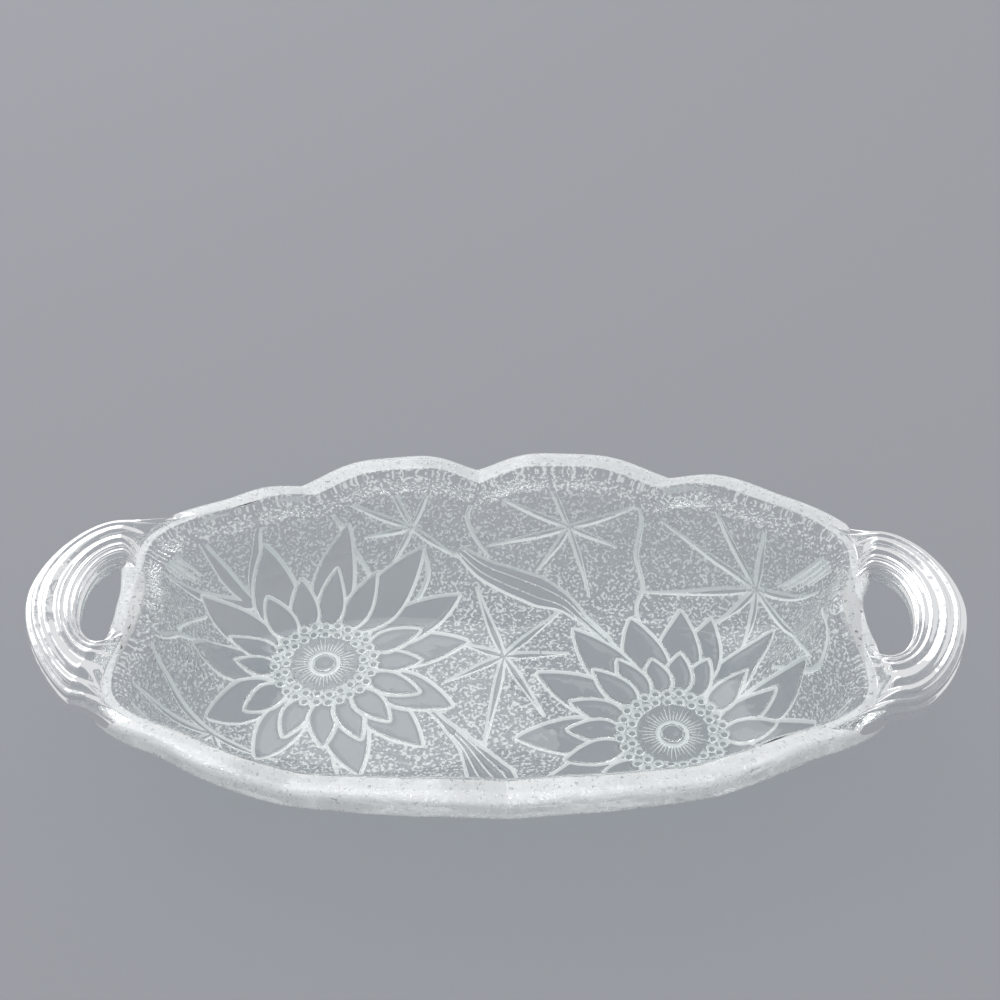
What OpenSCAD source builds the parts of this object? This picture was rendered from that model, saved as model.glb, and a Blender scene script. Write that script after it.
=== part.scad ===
// Oval relish tray of clear pressed glass: a scalloped bowl, a ridged loop handle at each end,
// and water lilies, buds and lily pads standing in relief on the underside.
// The tray is one pressing. Each moulded region is a solid of its own, seated on the bowl's glass.
// Origin: centre of the tray on the surface it rests on. X runs from handle to handle.

/* [Bowl] */
// Outer length of the bowl wall at rim height
bowl_len = 178; // [168:1:188]
// Outer width of the bowl wall at rim height
bowl_w = 107; // [100:1:116]
// Fullness of the oval outline, where 2 is a plain ellipse
fullness = 2.6; // [2.2:0.05:3]
// Turn of the oval against the line through the handles, in degrees
oval_turn = 1.5; // [0:0.5:4]
// Swell of the wall's four corners, where the handles spring from it
corner_out = 8; // [2:0.5:10]
// Mean height of the rim along the long sides
rim_h = 35.7; // [33:0.1:40]
// Rise of the rim at the middle of each end
end_rise = 3.2; // [0:0.2:5]
// Height of the rim scallops from notch to crest
scallop_h = 4.4; // [2:0.2:7]
// Thickness of the glass in the floor and wall
glass_t = 4.2; // [3.6:0.1:5.4]
// Outer radius of the curve between floor and wall
knee_r = 30; // [26:0.5:34]
// Slope of the upper wall above level, in degrees
wall_slope = 62; // [56:1:68]

/* [Rim lip] */
// Width of the thick lip seen from above
lip_w = 7.4; // [6.4:0.1:8.4]
// Height of the lip's upright outer face
lip_h = 5.5; // [4:0.1:7]
// Rounding of the lip's two upper edges
lip_round = 1.8; // [1:0.1:2.4]

/* [Handles] */
// Reach of each handle beyond the bowl wall
handle_reach = 26; // [23:0.5:30]
// Width across the outside of a handle loop
handle_span = 55; // [50:0.5:60]
// Width of the ridged band at the tip of the loop
handle_w = 12; // [10:0.2:13.4]
// Width of the ridged band where it joins the bowl
handle_root_w = 12.6; // [11:0.2:14]
// Height of the band's section
handle_t = 10.4; // [8:0.2:12]
// Height of the band's top above the rim where it runs over the lip
handle_lift = 5.4; // [3.6:0.2:6.4]
// Rise of the loop's tip above its roots
handle_rise = 2.2; // [0:0.2:4]
// Depth of the grooves between the ridges
groove_d = 0.9; // [0.3:0.1:1.4]

/* [Flowers] */
// Height of the relief, from the glass ground to the resting plane
relief_h = 1.3; // [1:0.1:1.8]
// Distance of each flower's centre from the middle, along the tray
flower_x = 45.5; // [42:0.5:50]
// Distance of each flower's centre from the middle, across the tray
flower_y = 11; // [8:0.5:14]
// Reach of the outer petals from the flower's centre
outer_petal_l = 40; // [36:0.5:43]
// Width of an outer petal
outer_petal_w = 13; // [10:0.5:15]
// Reach of the inner petals from the flower's centre
inner_petal_l = 28; // [25:0.5:31]
// Width of an inner petal
inner_petal_w = 8.4; // [7:0.2:10]
// Outer radius of the two rows of beads, where the petals begin
bead_ring_r = 14.4; // [13.6:0.1:15.6]
// Radius of the domed button
button_r = 3.2; // [2.6:0.1:3.6]
// Width of the fine ring round the button
button_ring_w = 1.1; // [0.8:0.1:1.4]

/* [Lily pads] */
// Width of a broad leaf vein
vein_w = 2.1; // [1.4:0.1:2.6]
// Height of the veins above the glass ground
vein_h = 0.9; // [0.5:0.1:1]
// Width of a flower bud
bud_w = 9; // [7:0.5:11]

/* [Hidden] */

// Clear glass, as the tray shows it
glass_colour = [0.86, 0.92, 0.95, 0.75];
relief_colour = [0.72, 0.84, 0.9, 0.9];
bead_colour = [0.95, 0.97, 1, 0.95];

// Wall: a flat floor, a round knee and a straight slope up to the rim
knee_l = knee_r * wall_slope * PI / 180;
slope_l = (rim_h - relief_h - knee_r * (1 - cos(wall_slope))) / sin(wall_slope);
wall_run = knee_r * sin(wall_slope) + slope_l * cos(wall_slope);
inner_set = glass_t / sin(wall_slope);

// Rim: four scallops on each long side, each with two low crests, between these directions
scallop_dirs = [18, 48, 96, 138, 162];
scallop_floor_shares = [0.4, 0, 0, 0, 0.4];
scallop_crest_shares = [0.8, 0.9, 0.9, 0.5];
crest_main_share = 0.85;
crest_power_share = 1.1;
lip_blend = lip_h / 2;
round_share = 1 - cos(45);
round_step = lip_round * sqrt(pow(round_share, 2) + pow(1 - round_share, 2));

// Corners of the wall and the rise between them, as angles from the line through the handles
corner_dir = 16;
corner_span = 15;
end_span = 13;

// Handle loop, in plan and section
lead_share = 0.32;
loop_lead = handle_reach * lead_share;
loop_x = bowl_len / 2 + handle_reach - handle_w / 2;
loop_y = (handle_span - handle_root_w) / 2;
loop_power_share = 1.15;
band_power_share = 0.8;
ridges = 10;
ridge_steps = 4;
seat = glass_t / 40;
root_flare = handle_w / 12;
lead_in_shares = [0.3, 0.65];
cap_steps = 4;
over_lip = 2 * round_step + lip_w - 2 * lip_round - seat;

// Flowers: the direction of every petal, and its reach as a share of its row's
flower_dir_left = [12, 33, 57, 92, 130, 159, 190, 217, 247, 289, 316, 338];
flower_left_shares = [0.98, 1.04, 1.08, 1, 0.98, 1.02, 1.02, 0.93, 0.9, 0.98, 0.98, 0.96];
flower_dir_right = [13, 46, 72, 84, 104, 126, 151, 183, 212, 240, 272, 311, 350];
flower_right_shares = [1.1, 1.07, 1, 1.02, 1, 1.07, 1, 1, 1, 1, 0.96, 0.98, 1.02];
inner_dir_left = [3, 26, 69, 91, 113, 134, 168, 188, 221, 252, 275, 296, 315, 340];
inner_dir_right = [17, 40, 67, 83, 100, 119, 134, 159, 178, 198, 225, 252, 280, 307, 339, 1];
petal_start = bead_ring_r - relief_h / 2;
outer_h_share = 0.78;
petal_steps = 5;

// Beads: two rows of half balls as tall as the relief
bead_r = relief_h;
bead_outer_row = bead_ring_r - bead_r;
bead_inner_row = bead_ring_r - 3.1 * bead_r;
beads_outer = 27;
beads_inner = 21;

// Lily pads: each vein's two ends, given as a direction and a share of the way up to the rim.
// These are on the back half of the tray, and the front half repeats them turned half round.
vein_shares = [
    [[117, 0.79], [132, 0.86]], [[117, 0.79], [121, 0.9]], [[117, 0.79], [110, 0.9]],
    [[117, 0.79], [129, 0.73]], [[117, 0.79], [127, 0.62]],
    [[67, 0.79], [76, 0.9]], [[67, 0.79], [91, 0.89]], [[67, 0.79], [92, 0.7]],
    [[67, 0.79], [75, 0.6]], [[67, 0.79], [54, 0.57]], [[67, 0.79], [53, 0.73]],
    [[67, 0.79], [51, 0.86]],
    [[24, 0.74], [45, 0.82]], [[24, 0.74], [39, 0.9]], [[24, 0.74], [28, 0.9]],
    [[24, 0.74], [14, 0.8]], [[24, 0.74], [17, 0.64]], [[24, 0.74], [39, 0.6]],
    [[157, 0.68], [148, 0.88]], [[157, 0.68], [159, 0.8]], [[157, 0.68], [168, 0.79]]];
centre_vein_shares = [[100, 0.5], [60, 0.43], [38, 0.28], [335, 0.17], [262, 0.19], [159, 0.16],
    [116, 0.26]];
centre_pad_share = [82, 0.2];
pad_edge_shares = [
    [[98, 0.88], [100, 0.81], [98, 0.72], [94, 0.64]],
    [[51, 0.9], [48, 0.82], [48, 0.7], [42, 0.64], [40, 0.57]],
    [[136, 0.89], [134, 0.78], [133, 0.69], [131, 0.6]]];
edge_w = vein_w / 2;
fine_vein_w = vein_w * 0.7;
hub_gap = vein_w * 1.2;

// Buds: the line along each bud and its stem, from tip to flower, in directions and shares
bud_back_shares = [[102, 0.69], [88, 0.53], [69, 0.46], [50, 0.4], [33, 0.34]];
bud_front_shares = [[277, 0.72], [272, 0.5], [262, 0.28], [228, 0.18], [192, 0.2]];
bud_thick_shares = [0.12, 1, 0.7, 0.28, 0.2];

// Ridges that run on from each handle root down the wall: the first and last ridge's directions
comb_ridges = 5;
comb_foot_dirs = [13, 20];
comb_top_dirs = [10, 15];
comb_shares = [0.82, 0.9];
petals_end = norm([flower_x, flower_y]) + outer_petal_l * max(flower_right_shares);

ring_n = 90;

function mix(a, b, t) = a + (b - a) * t;
function grow(v, p) = sign(v) * pow(abs(v), p);

function turned(a) = (a % 180 + 180) % 180;

// A smooth hump, 1 where the direction a is at from the handle line and 0 beyond span
function hump(a, at, span) = let (d = min(turned(a), 180 - turned(a)))
    pow(cos(90 * min(abs(d - at) / span, 1)), 2);

// Radius of the bowl's wall at rim height, in plan direction a
function rim_r(a) = corner_out * hump(a, corner_dir, corner_span)
    + pow(pow(abs(cos(a - oval_turn)) / (bowl_len / 2), fullness)
    + pow(abs(sin(a - oval_turn)) / (bowl_w / 2), fullness), -1 / fullness);

function floor_r(a) = rim_r(a) - wall_run;
function reach(a) = floor_r(a) + knee_l + slope_l;

// Height of one scallop at share u of the way from notch to notch
function scallop(u) = pow(sin(180 * u), crest_power_share)
    + (1 - crest_main_share) / crest_main_share * (1 - cos(720 * u)) / 2;

function scallop_at(b, i) =
    i > len(scallop_dirs) - 2 || b < scallop_dirs[0] ? scallop_floor_shares[0]
    : b >= scallop_dirs[i + 1] ? scallop_at(b, i + 1)
    : let (u = (b - scallop_dirs[i]) / (scallop_dirs[i + 1] - scallop_dirs[i]),
        base = mix(scallop_floor_shares[i], scallop_floor_shares[i + 1], u))
      base + (scallop_crest_shares[i] - base) * scallop(u);

function rim_z(a) = rim_h + end_rise * hump(a, 0, end_span)
    + scallop_h * (scallop_at(turned(a), 0) - 1 / 2);

function wall_r(a, z) = rim_r(a) + (z - rim_h) / tan(wall_slope);
function lip_r(a) = wall_r(a, rim_z(a)) - inner_set + lip_w;

// Outer face of the bowl near the rim, at height z
function face_r(a, z) =
    let (low = rim_z(a) - lip_h, foot = low - lip_blend)
    z > low ? lip_r(a)
    : z > foot ? mix(wall_r(a, foot), lip_r(a), (z - foot) / lip_blend)
    : wall_r(a, z);

// Point at distance s along the outer glass from the centre, in direction a, stood off by d
function glass_pt(a, s, d) =
    let (f = floor_r(a), t = min(max((s - f) / knee_l, 0), 1) * wall_slope,
        e = max(s - f - knee_l, 0),
        r = s < f ? s : f + (knee_r + d) * sin(t) + e * cos(wall_slope),
        z = s < f ? relief_h - d : relief_h + knee_r - (knee_r + d) * cos(t) + e * sin(wall_slope))
    [r * cos(a), r * sin(a), z];

// The same for a point of the flat pattern, which is laid over the glass from the centre out
function lay(p, d) = glass_pt(atan2(p.y, p.x), norm(p), d);
function polar(q) = let (s = q[1] * reach(q[0])) [s * cos(q[0]), s * sin(q[0])];

// One closed radial section of the bowl, from the inner centre over the lip to the outer centre
function bowl_section(a) =
    let (z = rim_z(a), f = floor_r(a), ri = wall_r(a, z) - inner_set, ro = lip_r(a),
        low = z - lip_h, foot = low - lip_blend, c = lip_round * round_share,
        at = function (r, h) [r * cos(a), r * sin(a), h])
    [glass_pt(a, f, -glass_t),
        for (k = [1:4]) glass_pt(a, f + knee_l * k / 4, -glass_t),
        at(ri - lip_round / tan(wall_slope), z - lip_round), at(ri + c, z - c), at(ri + lip_round, z),
        at(ro - lip_round, z), at(ro - c, z - c), at(ro, z - lip_round), at(ro, low),
        at(wall_r(a, foot), foot),
        for (k = [4:-1:1]) glass_pt(a, f + knee_l * k / 4, 0),
        glass_pt(a, f, 0)];

function ring_faces(n, m) = [for (j = [0:m - 2], i = [0:n - 1])
    let (k = (i + 1) % n, p = j * n + i, q = j * n + k, r = (j + 1) * n + i, s = (j + 1) * n + k)
    each [[p, q, r], [q, s, r]]];

module bowl_form() {
    sections = [for (i = [0:ring_n - 1]) bowl_section(i * 360 / ring_n)];
    m = len(sections[0]);
    rings = [for (j = [0:m - 1], i = [0:ring_n - 1]) sections[i][j]];
    top = ring_n * m;
    caps = [for (i = [0:ring_n - 1]) let (k = (i + 1) % ring_n)
        each [[top, k, i], [top + 1, ring_n * (m - 1) + i, ring_n * (m - 1) + k]]];
    polyhedron(concat(rings, [[0, 0, relief_h + glass_t], [0, 0, relief_h]]),
        concat(ring_faces(ring_n, m), caps), convexity = 4);
}

module bowl() {
    color(glass_colour) bowl_form();
}

// Centre line of a handle loop at turn t, from -90 at the front root to 90 at the back root
function loop_pt(t) = [bowl_len / 2 + loop_lead
    + (loop_x - bowl_len / 2 - loop_lead) * grow(cos(t), loop_power_share),
    loop_y * grow(sin(t), loop_power_share)];
function loop_out(t) = let (v = loop_pt(min(t + 1, 90)) - loop_pt(max(t - 1, -90)))
    [v.y, -v.x] / norm(v);

function band_half(t) = mix(handle_w, handle_root_w, pow(abs(sin(t)), 3)) / 2;
function root_top() = rim_z(scallop_dirs[0]) + handle_lift;
function band_mid(t) = root_top() + handle_rise * pow(cos(t), 2) - handle_t / 2;

// Section of the band: a squared oval with grooves between the ridges all round
function band_section(t, groove, flare) =
    let (c = loop_pt(t), n = loop_out(t), w = band_half(t) + flare, m = ridges * ridge_steps)
    [for (i = [0:m - 1])
        let (b = i * 360 / m, g = groove * (1 - cos(ridges * b)) / 2,
            x = (w - g) * grow(cos(b), band_power_share),
            y = (handle_t / 2 - g) * grow(sin(b), band_power_share))
        [c.x + n.x * x, c.y + n.y * x, band_mid(t) + y]];

// Way over the lip from the shoulder of its outer face: how far in it leads, and how far down it is
function lip_in(w) = lookup(w, [[0, 0], [round_step, lip_round * round_share],
    [2 * round_step, lip_round], [2 * round_step + lip_w, lip_round + lip_w]]);
function lip_down(w) = w < 0 ? lip_round - w
    : lookup(w, [[0, lip_round], [round_step, lip_round * round_share], [2 * round_step, 0]]);

function seat_x(y, w, x, tries) =
    tries == 0 ? x
    : let (r = lip_r(atan2(y, x)) - lip_in(w)) seat_x(y, w, sqrt(r * r - y * y), tries - 1);

// Point of the lip's outside at y, with way w up its face or over its top
function seat_pt(y, w) = let (x = seat_x(y, w, bowl_len / 2, 5))
    [x - seat, y, rim_z(atan2(y, x)) - lip_down(w) - (w > 0 ? seat : 0)];

// Where a point of the band's section comes to lie on the lip, as y and way
function root_way(p) =
    let (shoulder = rim_z(atan2(p.y, seat_x(p.y, 0, bowl_len / 2, 5))) - lip_round,
        over = (p.z - shoulder) / (root_top() - shoulder))
    [p.y, over > 0 ? over_lip * over : p.z - shoulder];

module handle() {
    m = ridges * ridge_steps;
    half = m / 2;
    leads = [for (t = [-90, 90])
        let (root = [for (p = band_section(t, 0, root_flare)) root_way(p)],
            on_lip = [for (q = root) seat_pt(q[0], q[1])], out = band_section(t, groove_d, 0))
        [root, concat([on_lip], [for (u = lead_in_shares) let (e = 1 - pow(1 - u, 2))
            [for (i = [0:m - 1]) [mix(on_lip[i].x, out[i].x, u), mix(on_lip[i].y, out[i].y, e),
                mix(on_lip[i].z, out[i].z, e)]]])]];
    back = leads[1][1];
    sections = concat(leads[0][1], [for (t = [-90:12:90]) band_section(t, groove_d, 0)],
        [for (i = [len(back) - 1:-1:0]) back[i]]);
    n = len(sections);
    // Both ends close with a grid of points that follows the lip
    top = m / 4;
    grid = [for (e = [0, 1], k = [1:half - 1], j = [1:cap_steps - 1])
        let (root = leads[e][0], q = mix(root[(top + k) % m], root[(top - k + m) % m], j / cap_steps))
        seat_pt(q[0], q[1])];
    id = function (e, k, j)
        j == 0 || k == 0 || k == half ? e * (n - 1) * m + (top + k) % m
        : j == cap_steps ? e * (n - 1) * m + (top - k + m) % m
        : n * m + (e * (half - 1) + k - 1) * (cap_steps - 1) + j - 1;
    caps = [for (e = [0, 1], k = [0:half - 1], j = [0:cap_steps - 1])
        let (a = id(e, k, j), b = id(e, k, j + 1), c = id(e, k + 1, j + 1), d = id(e, k + 1, j))
        each [if (a != b) e == 0 ? [a, b, c] : [a, c, b], if (c != d) e == 0 ? [a, c, d] : [a, d, c]]];
    polyhedron(concat([for (s = sections) each s], grid), concat(ring_faces(m, n), caps),
        convexity = 6);
}

module right_handle() {
    color(glass_colour) handle();
}

module left_handle() {
    color(glass_colour) rotate([0, 0, 180]) handle();
}

// Half width of a petal at share u of the way from its foot to its tip
function petal_half(u, w) = w / 2 * pow(sin(180 * pow(u, 0.8)), 0.75) * (1 - 0.15 * u);

// One petal: an outline on the glass, and a domed crown inside it
module petal(at, dir, tip, w, h) {
    along = [cos(dir), sin(dir)];
    across = [-sin(dir), cos(dir)];
    shoulder_share = 0.72;
    side = function (u, v, d) lay(at + along * mix(petal_start, tip, u)
        + across * petal_half(u, w) * v, d);
    hull() {
        pts = [for (k = [0:petal_steps], v = [-1, 1]) let (u = k / petal_steps)
            each [side(u, v, 0), side(mix(0.5, u, 0.86), v * shoulder_share, h)]];
        polyhedron(pts, [for (i = [0:len(pts) - 3]) [i, i + 1, i + 2]]);
    }
}

module petals(at, outer_dirs, outer_shares, inner_dirs) {
    difference() {
        union() {
            for (i = [0:len(outer_dirs) - 1])
                petal(at, outer_dirs[i], outer_petal_l * outer_shares[i], outer_petal_w,
                    relief_h * outer_h_share);
            for (dir = inner_dirs)
                petal(at, dir, inner_petal_l, inner_petal_w, relief_h);
        }
        bowl_form();
    }
}

module left_petals() {
    color(relief_colour)
        petals([-flower_x, flower_y], flower_dir_left, flower_left_shares, inner_dir_left);
}

module right_petals() {
    color(relief_colour)
        petals([flower_x, -flower_y], flower_dir_right, flower_right_shares, inner_dir_right);
}

// Turns what is modelled hanging below the origin so that it stands out of the glass at p
module on_glass(p) {
    s = norm(p);
    a = atan2(p.y, p.x);
    tilt = min(max((s - floor_r(a)) / knee_l, 0), 1) * wall_slope;
    translate(lay(p, 0)) rotate([0, 0, a]) rotate([0, -tilt, 0]) children();
}

module bead() {
    rotate_extrude($fn = 24) intersection() {
        circle(bead_r, $fn = 24);
        translate([0, -bead_r]) square(bead_r);
    }
}

module beads(at) {
    for (i = [0:beads_outer - 1]) {
        b = i * 360 / beads_outer;
        on_glass(at + bead_outer_row * [cos(b), sin(b)]) bead();
    }
    for (i = [0:beads_inner - 1]) {
        b = (i + 0.5) * 360 / beads_inner;
        on_glass(at + bead_inner_row * [cos(b), sin(b)]) bead();
    }
}

module left_beads() {
    color(bead_colour) beads([-flower_x, flower_y]);
}

module right_beads() {
    color(bead_colour) beads([flower_x, -flower_y]);
}

// The button: a low dome with a small flat crown, inside a fine half-round ring
module button() {
    ring_mid = button_r + button_ring_w;
    dome_r = (button_r * button_r + relief_h * relief_h) / (2 * relief_h);
    flat_share = 0.04;
    rotate_extrude($fn = 48) intersection() {
        translate([0, dome_r - relief_h * (1 + flat_share)]) circle(dome_r, $fn = 96);
        translate([0, -relief_h]) square([button_r, relief_h]);
    }
    rotate_extrude($fn = 48) intersection() {
        translate([ring_mid, 0]) circle(button_ring_w / 2, $fn = 24);
        translate([0, -relief_h]) square([ring_mid + button_ring_w, relief_h]);
    }
}

module left_button() {
    color(bead_colour) on_glass([-flower_x, flower_y]) button();
}

module right_button() {
    color(bead_colour) on_glass([flower_x, -flower_y]) button();
}

// A tapering rib laid over the glass along a line of pattern points
module rib(pts, w, h, taper_shares) {
    n = len(pts);
    top_share = 0.45;
    sections = [for (i = [0:n - 1])
        let (v = pts[min(i + 1, n - 1)] - pts[max(i - 1, 0)], c = [-v.y, v.x] / norm(v),
            k = taper_shares[i] * w / 2, base = -seat / 2)
        [lay(pts[i] + c * k, base), lay(pts[i] + c * k * top_share, h * taper_shares[i]),
            lay(pts[i] - c * k * top_share, h * taper_shares[i]), lay(pts[i] - c * k, base)]];
    m = len(sections[0]);
    caps = [for (q = [[2, 1], [3, 2]]) let (last = (n - 1) * m)
        each [[0, q[0], q[1]], [last, last + q[1], last + q[0]]]];
    polyhedron([for (s = sections) each s], concat(ring_faces(m, n), caps));
}

// A straight vein leaves a small gap at the middle of its pad
module vein(from, to, w) {
    gap = hub_gap / norm(to - from);
    rib([for (u = [gap, 0.35, 0.6, 0.8, 1]) mix(from, to, u)], w, vein_h,
        [0.5, 0.9, 1, 0.75, 0.3]);
}

module turned_pair() {
    for (b = [0, 180]) rotate([0, 0, b]) children();
}

module pad_veins() {
    color(relief_colour) {
        turned_pair() for (q = vein_shares) vein(polar(q[0]), polar(q[1]), fine_vein_w);
        for (q = centre_vein_shares) vein(polar(centre_pad_share), polar(q), vein_w);
    }
}

module pad_edges() {
    color(relief_colour) turned_pair() for (line = pad_edge_shares)
        let (n = len(line)) rib([for (q = line) polar(q)], edge_w, vein_h,
            [for (i = [0:n - 1]) i == 0 || i == n - 1 ? 0.5 : 1]);
}

// The outline and crown of a bud at share u of the way along one step of its line
function bud_ring(a, b, wa, wb, u) =
    let (v = b - a, c = [-v.y, v.x] / norm(v) * bud_w / 2 * mix(wa, wb, u), p = mix(a, b, u))
    [lay(p - c, 0), lay(p - c / 2, vein_h), lay(p + c / 2, vein_h), lay(p + c, 0)];

module bud(line) {
    pts = [for (q = line) polar(q)];
    difference() {
        for (i = [0:len(pts) - 2], k = [0:1]) hull() {
            rings = [for (u = [k / 2, (k + 1) / 2])
                each bud_ring(pts[i], pts[i + 1], bud_thick_shares[i], bud_thick_shares[i + 1], u)];
            polyhedron(rings, [for (j = [0:len(rings) - 3]) [j, j + 1, j + 2]]);
        }
        bowl_form();
    }
}

module flower_buds() {
    color(relief_colour) {
        bud(bud_back_shares);
        bud(bud_front_shares);
    }
}

// A ridge stops short of the petals' tips
module handle_combs() {
    color(relief_colour) turned_pair() for (side = [-1, 1], k = [0:comb_ridges - 1]) {
        v = k / (comb_ridges - 1);
        foot_dir = mix(comb_foot_dirs[0], comb_foot_dirs[1], v);
        top_dir = mix(comb_top_dirs[0], comb_top_dirs[1], v);
        foot = max(comb_shares[0], petals_end / reach(foot_dir));
        if (foot < comb_shares[1])
            rib([for (u = [0:1 / 3:1])
                polar([side * mix(foot_dir, top_dir, u), mix(foot, comb_shares[1], u)])],
                edge_w, vein_h, [0.4, 0.9, 1, 0.5]);
    }
}

bowl();
left_handle();
right_handle();
left_petals();
right_petals();
left_beads();
right_beads();
left_button();
right_button();
pad_veins();
pad_edges();
flower_buds();
handle_combs();
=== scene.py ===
"""Looks of an oval pressed-glass relish tray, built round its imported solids.

The tray is one pressing: a smooth inside, a thick scalloped rim, ridged handles and water lilies in
relief on the underside. The outside is one height field over the glass, so that every petal, bead
and vein bends the light as pressed glass does. The handles are swept from it and meet it face to
face. All shapes are worked out in millimetres in the CAD frame and made in metres.
"""

import logging
import math
from dataclasses import dataclass
from enum import Enum
from typing import ClassVar

import bpy
import numpy as np
from mathutils import Matrix, Vector
from mathutils.geometry import delaunay_2d_cdt

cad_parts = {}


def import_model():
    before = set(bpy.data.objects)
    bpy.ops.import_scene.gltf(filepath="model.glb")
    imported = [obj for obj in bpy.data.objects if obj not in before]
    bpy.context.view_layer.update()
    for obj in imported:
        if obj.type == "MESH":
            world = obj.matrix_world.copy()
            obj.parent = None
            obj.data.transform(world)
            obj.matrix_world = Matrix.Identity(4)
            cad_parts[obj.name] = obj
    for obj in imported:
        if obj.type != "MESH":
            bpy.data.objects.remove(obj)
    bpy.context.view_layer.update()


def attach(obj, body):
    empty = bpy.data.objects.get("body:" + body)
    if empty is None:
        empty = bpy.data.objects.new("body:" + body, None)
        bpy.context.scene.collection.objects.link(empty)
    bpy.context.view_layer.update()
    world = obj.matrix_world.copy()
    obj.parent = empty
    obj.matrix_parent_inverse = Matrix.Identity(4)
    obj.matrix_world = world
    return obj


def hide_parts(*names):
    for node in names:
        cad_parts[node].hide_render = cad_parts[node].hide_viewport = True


LOG = logging.getLogger("relish_tray")
MM = 0.001
SEED = 11

# How far inside a frosted line a point counts as being, where its feature or its face has no line.
OFF_LINE = -1.0
NO_LINE = -3.0

Array = np.ndarray


# Shapes and rows of points


def smooth(x: Array) -> Array:
    """Eases from 0 to 1 as x goes from 0 to 1."""
    x = np.clip(x, 0.0, 1.0)
    return x * x * (3.0 - 2.0 * x)


def bevel(x: Array, power: float = 1.4) -> Array:
    """Rises steeply from 0 to 1 as x goes from 0 to 1, with a soft shoulder at the top."""
    return 1.0 - (1.0 - np.clip(x, 0.0, 1.0)) ** power


def unit(deg: float) -> Array:
    """The direction at deg degrees in plan."""
    return np.array([math.cos(math.radians(deg)), math.sin(math.radians(deg))])


def directions(n: int) -> Array:
    """n directions evenly round a full turn, in radians."""
    return np.arange(n) * 2 * np.pi / n


def polar(dist: Array, a: Array) -> Array:
    """Plan points at distances dist in directions a (radians)."""
    return np.stack([dist * np.cos(a), dist * np.sin(a)], 1)


def plan(p: Array) -> tuple:
    """Direction (radians) and distance of plan points."""
    return np.arctan2(p[:, 1], p[:, 0]), np.hypot(p[:, 0], p[:, 1])


def run_along(line: Array) -> Array:
    """Distance along a line to each of its points."""
    return np.concatenate([[0], np.cumsum(np.hypot(*np.diff(line, axis=0).T))])


def band(rows: list) -> Array:
    """Triangles between closed rows of points.

    Args:
        rows: the numbers of each row's points, all rows of one length.

    Returns:
        Triangles, M by 3.
    """
    out = []
    for p, q in zip(rows[:-1], rows[1:]):
        p2, q2 = np.roll(p, -1), np.roll(q, -1)
        out += [np.stack([p, p2, q], 1), np.stack([p2, q2, q], 1)]
    return np.concatenate(out)


def smooth_line(x: Array, y: Array, at: Array) -> Array:
    """A smooth curve through a few places.

    Args:
        x: rising distances along the line.
        y: the values there.
        at: the distances at which values are wanted.

    Returns:
        The values, by cubic pieces with matching slopes.
    """
    if len(x) < 3:
        return np.interp(at, x, y)
    slope = np.gradient(y, x)
    i = np.clip(np.searchsorted(x, at, side="right") - 1, 0, len(x) - 2)
    h = x[i + 1] - x[i]
    t = (at - x[i]) / h
    t2, t3 = t * t, t * t * t
    return ((2 * t3 - 3 * t2 + 1) * y[i] + (t3 - 2 * t2 + t) * h * slope[i]
            + (3 * t2 - 2 * t3) * y[i + 1] + (t3 - t2) * h * slope[i + 1])


# The tray's form


@dataclass(frozen=True)
class TraySize:
    """Sizes of the bowl and its lip in millimetres, with directions and spans in degrees."""

    length: float = 178.0
    width: float = 107.0
    fullness: float = 2.6
    oval_turn: float = 1.5
    corner_out: float = 8.0
    corner_dir: float = 16.0
    corner_span: float = 15.0
    rim_h: float = 35.7
    end_rise: float = 3.2
    end_span: float = 13.0
    scallop_h: float = 4.4
    glass_t: float = 4.2
    knee_r: float = 30.0
    wall_slope: float = 62.0
    relief_h: float = 1.3
    lip_w: float = 7.35
    lip_slims: tuple = (1.2, -0.6)
    slim_span: float = 12.0
    end_in: float = 1.1
    lip_h: float = 5.5
    lip_round: float = 1.9
    inner_round: float = 1.0
    scallop_dirs: tuple = (18.0, 48.0, 96.0, 138.0, 162.0)
    scallop_floor: tuple = (0.4, 0.0, 0.0, 0.0, 0.4)
    scallop_crest: tuple = (0.8, 0.9, 0.9, 0.5)
    crest_main: float = 0.85
    crest_power: float = 1.1


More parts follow.
